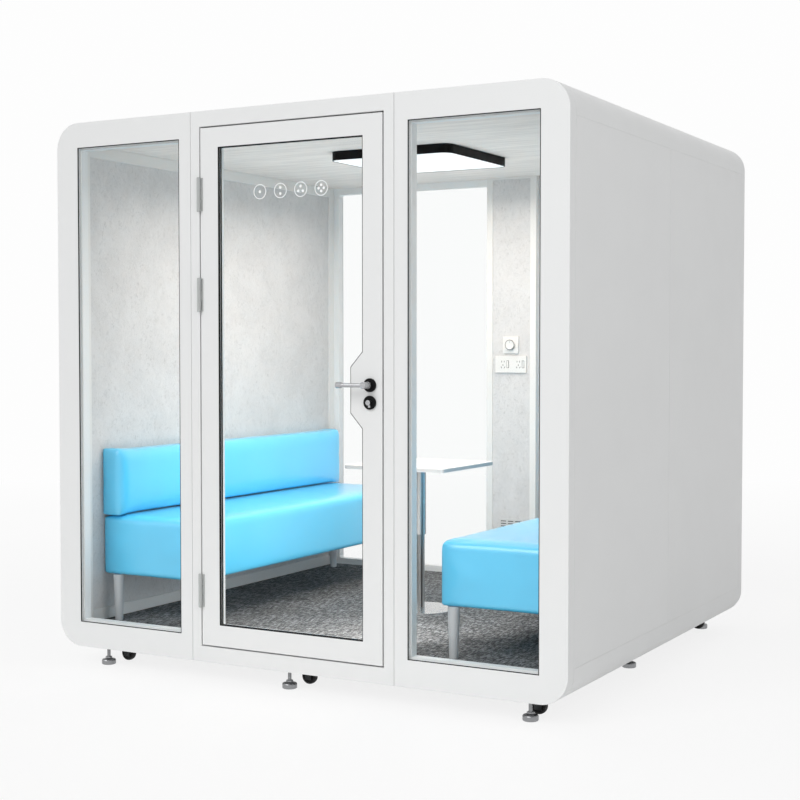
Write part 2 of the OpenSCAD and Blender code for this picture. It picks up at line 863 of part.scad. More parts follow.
// The latch's nose is bevelled on the side that meets the strike first
module latch_bolt() {
    nose = latch_out;
    x1 = leaf_x + latch_out;
    y0 = bolt_y - bolt_t / 2;
    color("silver") booth() translate([0, 0, lever_z - latch_h / 2]) linear_extrude(latch_h)
        polygon([
            [bolt_x0, y0], [x1, y0], [x1, y0 + bolt_t / 2], [x1 - nose, y0 + bolt_t], [bolt_x0, y0 + bolt_t]
        ]);
}

module dead_bolt() {
    color("silver") booth() slab([bolt_x0, leaf_x - 1], [bolt_y - bolt_t / 2, bolt_y + bolt_t / 2],
        [turn_z - bolt_h / 2, turn_z + bolt_h / 2]);
}

// Slotted disc outside and grip inside, on one spindle
module thumb_turn() {
    slot_w = 2.5;
    slot_d = 2;
    grip_t = 7;
    y1 = leaf_t + rosette_t;
    color("silver") booth() difference() {
        union() {
            bar_y(lever_x, turn_z, turn_d, [-rosette_t - plug_out, 0]);
            bar_y(lever_x, turn_z, spindle_d, [-past, leaf_t + past]);
            bar_y(lever_x, turn_z, turn_d, [leaf_t, y1 + 2]);
            slab([lever_x - grip_t / 2, lever_x + grip_t / 2], [y1, y1 + thumb_out],
                [turn_z - thumb_l / 2, turn_z + thumb_l / 2]);
        }
        slab([lever_x - turn_d / 3, lever_x + turn_d / 3],
            [-rosette_t - plug_out - past, -rosette_t - plug_out + slot_d],
            [turn_z - slot_w / 2, turn_z + slot_w / 2]);
    }
}

// Lining and service column

// Frames round the wall felt, and the cheeks beside the service column
module wall_trims() {
    color("white") booth() both_sides() {
        for (y = [inner_y0, inner_y1 - trim_w])
            slab([inner_x, lining_x], [y, y + trim_w], [floor_z, ceiling_z]);
        for (z = [floor_z, ceiling_z - trim_w])
            slab([inner_x, lining_x], [inner_y0 + trim_w + weld_gap, inner_y1 - trim_w - weld_gap],
                [z, z + trim_w]);
        slab([column_x - column_t, column_x], [fan_y0, inner_y1], [floor_z, ceiling_z]);
    }
}

// Space for the service column's felt
module inlay(y) {
    top_margin = 10;
    slab([-inlay_x, inlay_x], y, [floor_z + trim_w, ceiling_z - top_margin]);
}

module felt_panels() {
    color("gainsboro") booth() {
        both_sides() slab([felt_x, lining_x], [inner_y0 + trim_w, inner_y1 - trim_w],
            [floor_z + trim_w, ceiling_z - trim_w]);
        difference() {
            inlay([inlay_y0, inlay_y1]);
            bar_y(0, vent_z, duct_d, [inlay_y0 - past, inlay_y1 + past]);
            bar_y(0, dimmer_z, shaft_d + 2, [inlay_y0 - past, inlay_y1 + past]);
        }
    }
}

module service_column() {
    color("white") booth() difference() {
        slab([-column_x, column_x], [column_y0, fan_y0], [floor_z, ceiling_z]);
        inlay([column_y0 - past, inlay_y1]);
        bar_y(0, vent_z, duct_d, [column_y0 - past, fan_y0 + past]);
        bar_y(0, dimmer_z, shaft_d + 2, [column_y0 - past, fan_y0 + past]);
    }
}

// Pin openings of one socket: a flat pair above and three below
module socket_holes(x) {
    y = [inlay_y0 - plate_out - past, inlay_y0 - plate_out / 3];
    for (s = [-1, 1]) {
        slab([x + s * 7 - 1.2, x + s * 7 + 1.2], y, [socket_z + 9, socket_z + 18]);
        translate([x + s * 9, 0, socket_z - 16]) rotate([0, s * 30, 0]) slab([-1.2, 1.2], y, [-4.5, 4.5]);
    }
    slab([x - 1.2, x + 1.2], y, [socket_z - 9, socket_z]);
}

module control_plates() {
    y = [inlay_y0 - plate_out, inlay_y0];
    color("whitesmoke") booth() difference() {
        union() {
            slab([-plate_w / 2, plate_w / 2], y, [dimmer_z - plate_w / 2, dimmer_z + plate_w / 2]);
            slab([-plate_w, plate_w], y, [socket_z - plate_w / 2, socket_z + plate_w / 2]);
        }
        bar_y(0, dimmer_z, shaft_d + 2 * run_fit, [y[0] - past, y[1] + past]);
        socket_holes(-plate_w / 2);
        socket_holes(plate_w / 2);
    }
}

module dimmer_knob() {
    face_y = inlay_y0 - plate_out;
    knob_gap = 0.3;
    color("white") booth() {
        bar_y(0, dimmer_z, knob_d, [face_y - knob_gap - knob_out, face_y - knob_gap]);
        bar_y(0, dimmer_z, shaft_d, [face_y - knob_gap - past, inlay_y1]);
    }
}

// Square plate with three columns of slots
module grille(y) {
    slot_l = 30;
    slot_h = 4;
    row_pitch = 13;
    col_pitch = 40;
    rows = 4;
    difference() {
        slab([-grille_w / 2, grille_w / 2], y, [vent_z - grille_w / 2, vent_z + grille_w / 2]);
        for (i = [-1:1], j = [-rows:rows]) {
            slab([i * col_pitch - slot_l / 2, i * col_pitch + slot_l / 2], [y[0] - past, y[1] + past],
                [vent_z + j * row_pitch - slot_h / 2, vent_z + j * row_pitch + slot_h / 2]);
        }
    }
}

module vent_grille() {
    color("white") booth() {
        grille([inlay_y0 - grille_t, inlay_y0]);
        grille([booth_d - grille_t, booth_d]);
    }
}

module fan_housing() {
    strut_w = 6;
    strut_t = 4;
    pin = 5;
    fan_bore = fan_w - 8;
    color("dimgray") booth() {
        difference() {
            slab([-fan_w / 2, fan_w / 2], [fan_y0, fan_y1], [vent_z - fan_w / 2, vent_z + fan_w / 2]);
            bar_y(0, vent_z, fan_bore, [fan_y0 - past, fan_y1 + past]);
        }
        for (h = [[fan_w / 2, strut_w / 2], [strut_w / 2, fan_w / 2]])
            slab([-h[0], h[0]], [fan_y1 - strut_t, fan_y1], [vent_z - h[1], vent_z + h[1]]);
        bar_y(0, vent_z, hub_d - 8, [fan_y1 - strut_t, fan_y1]);
        bar_y(0, vent_z, pin, [fan_y0 + strut_t, fan_y1 - strut_t]);
    }
}

module fan_rotor() {
    pin = 5;
    rotor_d = fan_w - 8 - 2 * blade_gap;
    y0 = fan_y0 + 3;
    y1 = fan_y1 - 6;
    chord = 22;
    blade_t = 2;
    pitch = 40;
    color("black") booth() difference() {
        union() {
            bar_y(0, vent_z, hub_d, [y0, y1]);
            intersection() {
                bar_y(0, vent_z, rotor_d, [y0, y1]);
                translate([0, (y0 + y1) / 2, vent_z]) for (i = [0:blades - 1]) {
                    rotate([0, i * 360 / blades, 0]) rotate([pitch, 0, 0])
                        translate([0, -chord / 2, -blade_t / 2]) cube([rotor_d, chord, blade_t]);
                }
            }
        }
        bar_y(0, vent_z, pin + 2 * run_fit, [y0 - past, y1 + past]);
    }
}

// Flat block with the lamp's outline, drawn in by inset
module lamp_block(inset, z) {
    w = lamp_w - 2 * inset;
    translate([-w / 2, mid_y - w / 2, z[0]]) linear_extrude(z[1] - z[0]) round_rect(w, w, lamp_r - inset);
}

module light_housing() {
    back_t = 3;
    color("black") booth() difference() {
        lamp_block(0, [lamp_z, ceiling_z]);
        lamp_block(lamp_rim, [lamp_z - past, ceiling_z - back_t]);
    }
}

module light_diffuser() {
    set_back = 1;
    color("white") booth() lamp_block(lamp_rim, [lamp_z + set_back, lamp_z + set_back + diffuser_t]);
}

// Sofas

corner_steps = 5;
side_steps = 3;

// Points of one side of a cushion's ring, from a corner's arc to the next side
function ring_side(c, w, l, r, inset, draw) = [
    for (i = [0:corner_steps + side_steps])
        let (
            rr = max(r - inset, 1),
            sx = (c == 0 || c == 3) ? 1 : -1,
            sy = c < 2 ? 1 : -1,
            hx = w / 2 - inset - rr,
            hy = l / 2 - inset - rr,
            a = 90 * (c + min(i, corner_steps) / corner_steps),
            t = max(i - corner_steps, 0) / (side_steps + 1),
            along = c % 2 == 0 ? [-sx * 2 * hx * t, 0] : [0, -sy * 2 * hy * t],
            pull = draw * sin(180 * t)
        )
        [sx * hx + (rr - pull) * cos(a) + along[0], sy * hy + (rr - pull) * sin(a) + along[1]]
];

// Rows of a cushion: inset and height, from the underside to the last ring of the crown
function cushion_rows(w, h, edge, crown) = [
    [edge / 3, 0],
    [edge / 12, edge / 12],
    [0, edge / 3],
    [0, (h - edge) * 0.35],
    [0, (h - edge) * 0.65],
    for (a = [0:22.5:90]) [edge * (1 - cos(a)), h - edge + edge * sin(a)],
    for (t = [0.2:0.2:1]) [edge + t * (0.42 * w - edge), h + crown * (1 - pow(1 - t, 2))]
];

// Crowned block on its underside: w across, l along and h high at its edge
module cushion(w, l, h, edge, crown) {
    rows = cushion_rows(w, h, edge, crown);
    rings = [
        for (k = [0:len(rows) - 1], c = [0:3])
            let (
                z = rows[k][1],
                draw = side_draw * sin(180 * min(max(z / (h - edge), 0), 1))
            )
            for (p = ring_side(c, w, l, cushion_corner, rows[k][0], draw)) [p[0], p[1], z]
    ];
    n = 4 * (corner_steps + side_steps + 1);
    m = len(rows);
    sides = [
        for (k = [0:m - 2], i = [0:n - 1])
            let (j = (i + 1) % n)
            each [[k * n + i, (k + 1) * n + i, (k + 1) * n + j], [k * n + i, (k + 1) * n + j, k * n + j]]
    ];
    caps = [
        for (i = [0:n - 1])
            let (j = (i + 1) % n)
            each [[n * m, i, j], [n * m + 1, (m - 1) * n + j, (m - 1) * n + i]]
    ];
    polyhedron(concat(rings, [[0, 0, 0], [0, 0, h + crown]]), concat(sides, caps));
}

module seat() {
    translate([(sofa_x0 + sofa_x1) / 2, (sofa_y0 + sofa_y1) / 2, seat_z0])
        cushion(seat_d, sofa_l, seat_h, seat_r, seat_crown);
}

// The back cushion's crown faces the middle of the room
module seat_back() {
    translate([sofa_x1, (sofa_y0 + sofa_y1) / 2, back_z0 + back_h / 2]) rotate([0, -90, 0])
        cushion(back_h, sofa_l, back_t, back_r, back_crown);
}

module left_seat() {
    color("deepskyblue") booth() mirror([1, 0, 0]) seat();
}

module left_back() {
    color("deepskyblue") booth() mirror([1, 0, 0]) seat_back();
}

module right_seat() {
    color("deepskyblue") booth() seat();
}

module right_back() {
    color("deepskyblue") booth() seat_back();
}

module sofa_legs() {
    color("lightgray") booth() both_sides()
        for (x = [sofa_x0 + leg_in, sofa_x1 - leg_rear], y = [sofa_y0 + leg_end, sofa_y1 - leg_end]) {
            translate([x, y, floor_z]) cylinder(d1 = leg_low_d, d2 = leg_top_d, h = seat_low);
        }
}

// Table

module table_top() {
    color("white") booth() translate([-table_w / 2, mid_y - table_w / 2, table_z0])
        linear_extrude(table_t) round_rect(table_w, table_w, table_r);
}

module table_column() {
    flange_d = 120;
    flange_t = 5;
    color("silver") booth() translate([0, mid_y, 0]) {
        translate([0, 0, floor_z + disc_h]) cylinder(d = column_d, h = sleeve_low - disc_h);
        translate([0, 0, floor_z + sleeve_low]) cylinder(d = sleeve_d, h = table_z0 - floor_z - sleeve_low);
        translate([0, 0, table_z0 - flange_t]) cylinder(d = flange_d, h = flange_t);
    }
}

module table_base() {
    color("silver") booth() translate([0, mid_y, floor_z]) rotate_extrude()
        polygon([[0, 0], [disc_d / 2, 0], [disc_d / 2, disc_rim], [column_d, disc_h], [0, disc_h]]);
}

// Levelling feet and transport wheels

module foot(i) {
    chamfer = 4;
    color("silver") booth() translate([foot_at[i - 1][0], foot_at[i - 1][1], 0]) {
        rotate_extrude() polygon([
            [0, 0], [pad_d / 2, 0], [pad_d / 2, pad_h - chamfer], [pad_d / 2 - 2 * chamfer, pad_h], [0, pad_h]
        ]);
        translate([0, 0, pad_h]) cylinder(d = collar_d, h = collar_h);
        translate([0, 0, pad_h]) cylinder(d = stem_d, h = stem_l);
    }
}

module wheel(i) {
    p = wheel_at[i - 1];
    color("black") booth() difference() {
        bar_y(p[0], axle_z, wheel_d, [p[1] - wheel_w / 2, p[1] + wheel_w / 2]);
        bar_y(p[0], axle_z, axle_d + 2 * run_fit, [p[1] - wheel_w / 2 - past, p[1] + wheel_w / 2 + past]);
    }
}

lower_shell();
roof_shell();
left_side_panels();
right_side_panels();
wall_cores();
base_frame();
floor_deck();
carpet();
front_left_frame();
front_right_frame();
door_frame();
door_stop();
back_frame();
window_glass();
glazing_gaskets();
felt_panels();
wall_trims();
service_column();
ceiling_panel();
light_housing();
light_diffuser();
control_plates();
dimmer_knob();
vent_grille();
fan_housing();
fan_rotor();
door_leaf();
door_glass();
door_gasket();
door_seal();
frame_hinges();
door_hinges();
lever_handle();
lock_set();
latch_bolt();
dead_bolt();
thumb_turn();
strike_plate();
left_seat();
left_back();
right_seat();
right_back();
sofa_legs();
table_top();
table_column();
table_base();
foot(1);  // foot_1
foot(2);  // foot_2
foot(3);  // foot_3
foot(4);  // foot_4
foot(5);  // foot_5
foot(6);  // foot_6
foot(7);  // foot_7
foot(8);  // foot_8
wheel(1);  // wheel_1
wheel(2);  // wheel_2
wheel(3);  // wheel_3
wheel(4);  // wheel_4
wheel(5);  // wheel_5
wheel(6);  // wheel_6
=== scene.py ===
"""Portable vocal booth: the looks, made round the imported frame.

Run as a script, it loads the frame, registers its operators and calls them in order. Each operator makes
one piece or a group of like pieces, and the sidebar lists them all.
"""

import json
import math

import bmesh
import bpy
from bpy.props import FloatProperty, FloatVectorProperty, IntProperty, PointerProperty
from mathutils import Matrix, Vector

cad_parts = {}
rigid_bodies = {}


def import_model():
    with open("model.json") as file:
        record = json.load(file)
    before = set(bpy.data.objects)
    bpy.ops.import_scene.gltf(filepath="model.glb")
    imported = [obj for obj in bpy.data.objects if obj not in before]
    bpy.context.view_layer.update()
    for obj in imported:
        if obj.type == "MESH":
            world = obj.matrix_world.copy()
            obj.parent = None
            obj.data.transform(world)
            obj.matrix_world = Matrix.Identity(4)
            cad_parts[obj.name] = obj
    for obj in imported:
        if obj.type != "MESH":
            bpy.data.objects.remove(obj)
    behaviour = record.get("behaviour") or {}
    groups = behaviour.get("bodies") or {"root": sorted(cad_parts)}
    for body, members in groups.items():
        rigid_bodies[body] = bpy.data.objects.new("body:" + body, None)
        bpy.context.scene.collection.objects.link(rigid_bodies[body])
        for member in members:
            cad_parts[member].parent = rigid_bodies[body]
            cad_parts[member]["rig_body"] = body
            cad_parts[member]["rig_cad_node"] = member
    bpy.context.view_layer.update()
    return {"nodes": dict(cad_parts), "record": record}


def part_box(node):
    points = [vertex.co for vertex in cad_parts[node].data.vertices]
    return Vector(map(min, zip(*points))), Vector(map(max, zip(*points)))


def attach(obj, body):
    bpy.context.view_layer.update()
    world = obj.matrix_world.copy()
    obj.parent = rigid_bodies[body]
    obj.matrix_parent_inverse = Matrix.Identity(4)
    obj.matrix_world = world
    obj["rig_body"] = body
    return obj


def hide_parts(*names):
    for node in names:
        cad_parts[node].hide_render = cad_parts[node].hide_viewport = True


bl_info = {
    "name": "Portable vocal booth",
    "version": (1, 0, 0),
    "blender": (4, 5, 0),
    "location": "View3D > Sidebar > Booth",
    "description": "Makes the looks of a portable vocal booth round its packed frame",
    "category": "Add Mesh",
}

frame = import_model()
NODES = frame["nodes"]
RECORD = frame["record"]
BODY_OF = {node: body for body, nodes in RECORD["behaviour"]["bodies"].items() for node in nodes}
SLOT_OF = {part["node"]: part["material_slot"] for part in RECORD["subparts"]}
MM = 0.001
# Points closer than this are one point, and faces that meet flatter than this are one face
SAME = 1e-6
FLAT = math.radians(0.4)
# Faces in one turn of a screw thread
THREAD_STEPS = 18
# What the camera sees as a white background
WHITE = 0.985


def srgb(red, green, blue):
    """A colour given as 0 to 255 on screen, as the renderer counts light."""
    return tuple(
        c / 12.92 if c <= 0.04045 else ((c + 0.055) / 1.055) ** 2.4
        for c in (red / 255, green / 255, blue / 255)
    )


def colour(label, shown, words):
    return FloatVectorProperty(
        name=label, description=words, subtype="COLOR", size=3, min=0, max=1, default=srgb(*shown)
    )


def length(label, value, words):
    return FloatProperty(
        name=label, description=words, unit="LENGTH", subtype="DISTANCE", min=0, default=value
    )


def level(label, value, words):
    return FloatProperty(name=label, description=words, min=0, default=value)


def turn(label, degrees, words):
    return FloatProperty(name=label, description=words, subtype="ANGLE", default=math.radians(degrees))


class BoothColours(bpy.types.PropertyGroup):
    """Colours of the booth's finishes."""

    paint: colour("Paint", (232, 233, 233), "Powder coat of the frames, the door and the shell")
    trim: colour("Trim", (224, 223, 221), "Trims, service column and plates")
    felt_light: colour("Felt, light", (212, 211, 211), "Light fibres of the wall felt")
    felt_dark: colour("Felt, dark", (190, 189, 189), "Dark fibres of the wall felt")
    carpet_light: colour("Carpet, light", (175, 176, 177), "Light loops of the carpet")
    carpet_dark: colour("Carpet, dark", (46, 46, 47), "Dark loops of the carpet")
    ceiling_light: colour("Ceiling, light", (250, 241, 234), "Light streaks of the ceiling")
    ceiling_dark: colour("Ceiling, dark", (226, 217, 211), "Dark streaks of the ceiling")
    upholstery: colour("Upholstery", (89, 211, 255), "Cover of the seats and backs")
    rubber: colour("Rubber", (22, 22, 23), "Gaskets, seals and wheels")
    black: colour("Black plastic", (12, 12, 13), "Lamp housing, rosettes and fan")
    leg: colour("Leg paint", (206, 208, 210), "Paint of the sofa legs")
    laminate: colour("Laminate", (208, 208, 208), "Table top")
    hinge: colour("Hinge paint", (180, 183, 182), "Paint of the hinges")
    steel: colour("Steel", (184, 185, 187), "Lever, bolts and strike plate")
    zinc: colour("Zinc", (148, 149, 151), "Levelling feet")
    chrome: colour("Chrome", (192, 191, 190), "Table column and foot disc")
    # Painted shade: the table top's sides get this grey, darker than the top
    side_shade: colour("Edge band", (186, 186, 186), "Band round the table top")
    vent: colour("Vent", (204, 204, 203), "Grille of the vent")


class BoothSizes(bpy.types.PropertyGroup):
    """Sizes of the details that the frame doesn't give."""

    sheet_edge: length("Sheet edge", 1.6 * MM, "Radius of the painted frames' edges")
    panel_edge: length("Panel edge", 0.8 * MM, "Radius of the side panels' edges")
    fine_edge: length("Fine edge", 0.5 * MM, "Radius of the small fittings' edges")
    shaft_edge: length("Shaft edge", 0.3 * MM, "Radius of the thumb turn's edges, less than its bore's")
    running_gap: length("Running gap", 0.04 * MM, "Gap that keeps the thumb turn off the lock's face")
    table_edge: length("Table edge", 2.5 * MM, "Radius of the table top's edges")
    cushion_shrink: length("Cushion blank", 6 * MM, "Set-back of a cushion's blank from its space")
    cushion_swell: length("Cushion swell", 9 * MM, "Most that a cushion's cover may swell")
    cushion_edge: length("Cushion edge", 22 * MM, "Radius of a cushion's soft edges")
    cushion_voxel: length("Cushion voxel", 11.6 * MM, "Mesh size of a cushion's cover")
    # Painted shade: the dimmer knob's dark ring stands for the shade in the gap round the knob
    gap_shade_width: length("Dimmer gap shade width", 4.2 * MM, "Width of the dimmer knob's dark ring, over root two")
    thread_pitch: length("Thread pitch", 2 * MM, "Pitch of the levelling feet's thread")
    mark_radius: length("Mark radius", 28 * MM, "Radius of the rings on the door glass")
    mark_width: length("Mark width", 2.2 * MM, "Width of the rings on the door glass, over root two")
    pressure: level("Pressure", 4, "Pressure inside a cushion's cover")
    relax_passes: IntProperty(name="Smoothing", description="Passes that smooth a cover", min=0, default=8)
    frames: IntProperty(name="Frames", description="Frames of the cushion simulation", min=2, default=20)


class BoothStage(bpy.types.PropertyGroup):
    """Camera and light."""

    camera_x: length("Camera X", 3.163, "Camera's place across the booth")
    camera_out: length("Camera distance", 5.829, "Camera's distance in front of the booth's middle")
    camera_z: length("Camera height", 1.355, "Camera's height above the ground")
    pitch: turn("Pitch", -2.057, "Camera's tilt from level")
    yaw: turn("Yaw", 29.137, "Camera's turn from the depth axis")
    lens: level("Lens", 66.14, "Focal length in millimetres")
    fill_z: length("Fill height", 1.25, "Height of the hidden light above the table")
    lamp_size: length("Lamp size", 1.7, "Side of the light that the ceiling lamp gives")
    sky: level("Sky", 0.49, "Strength of the even light from all round")
    sun: level("Sun", 1.3, "Strength of the broad light from the front")
    key: level("Key", 26, "Power of the soft light at the front right")
    back: level("Back", 16, "Power of the soft light at the back left")
    lamp: level("Lamp", 25, "Power of the ceiling lamp")
    fill: level("Fill", 8.5, "Power of the light above the table")
    low_fill: level("Low fill", 5.5, "Power of the light near the door")


def colours():
    return bpy.context.scene.booth_colours


def sizes():
    return bpy.context.scene.booth_sizes


# Steps that every piece goes through


def only(obj):
    """Selects one object alone and makes it the active one."""
    if bpy.context.mode != "OBJECT":
        end_edit()
    bpy.ops.object.select_all(action="DESELECT")
    obj.select_set(True)
    bpy.context.view_layer.objects.active = obj
    return obj


def edit(action="SELECT"):
    """Opens the active object's mesh for editing, with all of it selected unless told otherwise."""
    bpy.ops.object.mode_set(mode="EDIT")
    bpy.ops.mesh.select_all(action=action)


def end_edit():
    bpy.ops.object.mode_set(mode="OBJECT")


def settle(obj):
    """Bakes an object's place, turn and size into its mesh."""
    only(obj)
    bpy.ops.object.transform_apply(location=True, rotation=True, scale=True)
    return obj


def apply_modifiers(obj):
    """Bakes an object's modifiers into its mesh, in their order."""
    only(obj)
    for modifier in list(obj.modifiers):
        bpy.ops.object.modifier_apply(modifier=modifier.name)
    return obj


def heal(obj):
    """Merges double points and turns all faces outwards."""
    only(obj)
    edit()
    bpy.ops.mesh.remove_doubles(threshold=SAME)
    bpy.ops.mesh.normals_make_consistent(inside=False)
    end_edit()
    return obj


def smooth(obj, degrees=32):
    """Shades an object smooth, apart from edges sharper than an angle."""
    only(obj)
    bpy.ops.object.shade_smooth_by_angle(angle=math.radians(degrees))
    return obj


def round_edges(obj, width, segments=2, degrees=32, margin=18):
    """Gives every sharp edge a small radius, and keeps the flat faces' shading flat.

    An edge is sharp past so many degrees. What turns less than that and a margin is then shaded smooth.
    """
    bevel = obj.modifiers.new("Edges", "BEVEL")
    bevel.width = width
    bevel.segments = segments
    bevel.limit_method = "ANGLE"
    bevel.angle_limit = math.radians(degrees)
    bevel.use_clamp_overlap = True
    apply_modifiers(obj)
    smooth(obj, degrees + margin)
    flat = obj.modifiers.new("Flat faces", "WEIGHTED_NORMAL")
    flat.keep_sharp = True
    return apply_modifiers(obj)


def block(low, high):
    """A box between two corners."""
    low, high = Vector(low), Vector(high)
    bpy.ops.mesh.primitive_cube_add(size=1, location=(low + high) / 2)
    obj = bpy.context.object
    obj.scale = high - low
    return settle(obj)


def turned(steps, sides=40):
    """A turned piece along +Z from (radius, height) steps, closed at both ends."""
    radius, height = steps[0]
    bpy.ops.mesh.primitive_circle_add(
        vertices=sides, radius=radius, fill_type="NGON", location=(0, 0, height)
    )
    obj = bpy.context.object
    edit()
    for wide, high in steps[1:]:
        bpy.ops.mesh.extrude_region_move(TRANSFORM_OT_translate={"value": (0, 0, high - height)})
        bpy.ops.transform.resize(value=(wide / radius, wide / radius, 1), center_override=(0, 0, high))
        radius, height = wide, high
    end_edit()
    return heal(settle(obj))


def ring(radius, width, depth):
    """A flat ring along +Z, root two times as wide and deep as given, because its section is a lozenge."""
    bpy.ops.mesh.primitive_torus_add(
        major_segments=64, minor_segments=4, major_radius=radius, minor_radius=width / math.sqrt(2)
    )
    obj = bpy.context.object
    edit()
    bpy.ops.transform.resize(value=(1, 1, depth / width))
    end_edit()
    return settle(obj)


def facing(obj, direction, place):
    """Turns a piece made along +Z to another direction and puts it in its place."""
    obj.rotation_euler = Vector((0, 0, 1)).rotation_difference(Vector(direction)).to_euler()
    obj.location = Vector(place)
    return settle(obj)


def joined(objects):
    """One piece out of several."""
    only(objects[0])
    for other in objects[1:]:
        other.select_set(True)
    if len(objects) > 1:
        bpy.ops.object.join()
    return bpy.context.object


def twin(obj, shift=(0, 0, 0), flip_x=False):
    """A copy with its own mesh, moved, or mirrored across the booth."""
    only(obj)
    bpy.ops.object.duplicate()
    copy = bpy.context.object
    if flip_x:
        copy.scale.x = -1
    copy.location = Vector(shift)
    settle(copy)
    return heal(copy) if flip_x else copy


def centre(node):
    """The middle of a node's box."""
    return [(low + high) / 2 for low, high in zip(*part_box(node))]


def finish_piece(obj, name, like, body=None, material=None):
    """Names a piece and gives it the finish and the body of a node, or others where they are given."""
    settle(obj)
    obj.name = obj.data.name = name
    obj.data.materials.clear()
    obj.data.materials.append(material or NODES[like].data.materials[0])
    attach(obj, body or BODY_OF[like])
    return obj


def stand_in(obj, name, node):
    """Finishes a piece as a node is finished, and lets it stand for the node."""
    finish_piece(obj, name, node)
    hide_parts(node)
    return obj


def stand_in_copies(model, name, family, count):
    """Puts a copy of a model in the place of each node of a family, and removes the model."""
    for number in range(1, count + 1):
        node = f"{family}_{number}"
        x, y, _ = centre(node)
        part = twin(model, (x, y, 0))
        stand_in(part, f"{name}_{number}", node)
    bpy.data.objects.remove(model)


def copy_of(node):
    """A free copy of a CAD node, cleaned of double points and split flat faces."""
    obj = NODES[node].copy()
    obj.data = obj.data.copy()
    bpy.context.collection.objects.link(obj)
    obj.hide_render = obj.hide_viewport = False
    obj.hide_set(False)
    only(obj)
    bpy.ops.object.parent_clear(type="CLEAR_KEEP_TRANSFORM")
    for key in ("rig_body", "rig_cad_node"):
        if key in obj:
            del obj[key]
    bpy.ops.mesh.customdata_custom_splitnormals_clear()
    edit()
    bpy.ops.mesh.remove_doubles(threshold=SAME)
    bpy.ops.mesh.dissolve_limited(angle_limit=FLAT)
    end_edit()
    return settle(obj)


def softened(node, width, gap=0):
    """A copy of a CAD node with rounded edges, drawn in all over by a gap, which stands for it."""
    obj = copy_of(node)
    if gap:
        slim = obj.modifiers.new("Gap", "DISPLACE")
        slim.mid_level = 0
        slim.strength = -gap
    return stand_in(round_edges(obj, width), f"{node}_soft", node)


# Finishes


class Finish:
    """A material and the steps that build its nodes."""

    def __init__(self, name, base, roughness, metallic=0.0):
        self.material = bpy.data.materials.new(name)
        self.material.use_nodes = True
        self.tree = self.material.node_tree
        self.shader = self.tree.nodes["Principled BSDF"]
        self.put(Base_Color=(*base, 1), Roughness=roughness, Metallic=metallic)

    def put(self, **values):
        for socket, value in values.items():
            self.shader.inputs[socket.replace("_", " ")].default_value = value

    def node(self, kind, **links):
        made = self.tree.nodes.new(kind)
        for socket, value in links.items():
            self.feed(made.inputs[socket.replace("_", " ")], value)
        return made

    def feed(self, socket, value):
        if isinstance(value, bpy.types.NodeSocket):
            self.tree.links.new(value, socket)
        else:
            socket.default_value = value

    def places(self, scale=(1, 1, 1)):
        """The piece's own coordinates in metres, stretched by scale."""
        here = self.node("ShaderNodeTexCoord").outputs["Object"]
        return self.node("ShaderNodeMapping", Vector=here, Scale=scale).outputs["Vector"]

    def noise(self, places, scale, detail=3.0, roughness=0.5, distortion=0.0):
        numbers = {"Scale": scale, "Detail": detail, "Roughness": roughness, "Distortion": distortion}
        return self.node("ShaderNodeTexNoise", Vector=places, **numbers).outputs["Fac"]

    def between(self, value, low, high, to_low, to_high):
        made = self.node("ShaderNodeMapRange", Value=value)
        for socket, number in zip(made.inputs[1:5], (low, high, to_low, to_high)):
            socket.default_value = number
        return made.outputs["Result"]

    def blend(self, factor, first, second):
        made = self.tree.nodes.new("ShaderNodeMix")
        made.data_type = "RGBA"
        for socket, value in zip((made.inputs[0], made.inputs[6], made.inputs[7]), (factor, first, second)):
            self.feed(socket, value if isinstance(value, (bpy.types.NodeSocket, float)) else (*value, 1))
        return made.outputs[2]

    def sum(self, first, second, kind="ADD"):
        made = self.tree.nodes.new("ShaderNodeMath")
        made.operation = kind
        self.feed(made.inputs[0], first)
        self.feed(made.inputs[1], second)
        return made.outputs[0]

    def bump(self, height, strength, depth):
        made = self.node("ShaderNodeBump", Height=height, Strength=strength, Distance=depth)
        self.feed(self.shader.inputs["Normal"], made.outputs["Normal"])

    def paint(self, pattern):
        self.feed(self.shader.inputs["Base Color"], pattern)

    def layers(self, base, *layers):
        """Lays tones over a base colour, each up to a share, as its pattern goes from first to last."""
        for pattern, first, last, share, tone in layers:
            base = self.blend(self.between(pattern, first, last, 0.0, share), base, tone)
        self.paint(base)

    def mixed(self, share, first, second):
        """Shows the first of two shaders, and the second by a share."""
        mix = self.node("ShaderNodeMixShader", Fac=share)
        self.feed(mix.inputs[1], first.outputs[0])
        self.feed(mix.inputs[2], second.outputs[0])
        self.feed(self.tree.nodes["Material Output"].inputs["Surface"], mix.outputs[0])
        return self.material

    def gloss(self, pattern, low, high):
        """Lets the roughness vary between two values with a pattern."""
        self.feed(self.shader.inputs["Roughness"], self.between(pattern, 0.3, 0.7, low, high))


def shade(tone, share):
    """A colour at a share of its brightness."""
    return [part * share for part in tone]


def powder_coat(name, base):
    """Satin paint with a faint orange peel."""
    finish = Finish(name, base, 0.42)
    here = finish.places()
    finish.paint(finish.blend(finish.noise(here, 1.6), base, shade(base, 0.965)))
    finish.gloss(finish.noise(here, 9.0), 0.38, 0.47)
    finish.bump(finish.noise(here, 700.0, detail=1.0), 0.10, 0.0002)
    return finish.material


def satin_plastic(name, base, roughness=0.38, shine=0.5):
    """Moulded plastic with a very fine grain."""
    finish = Finish(name, base, roughness)
    finish.put(Specular_IOR_Level=shine)
    here = finish.places()
    finish.gloss(finish.noise(here, 14.0), roughness - 0.05, roughness + 0.06)
    finish.bump(finish.noise(here, 1800.0, detail=1.0), 0.12, 0.0001)
    return finish.material


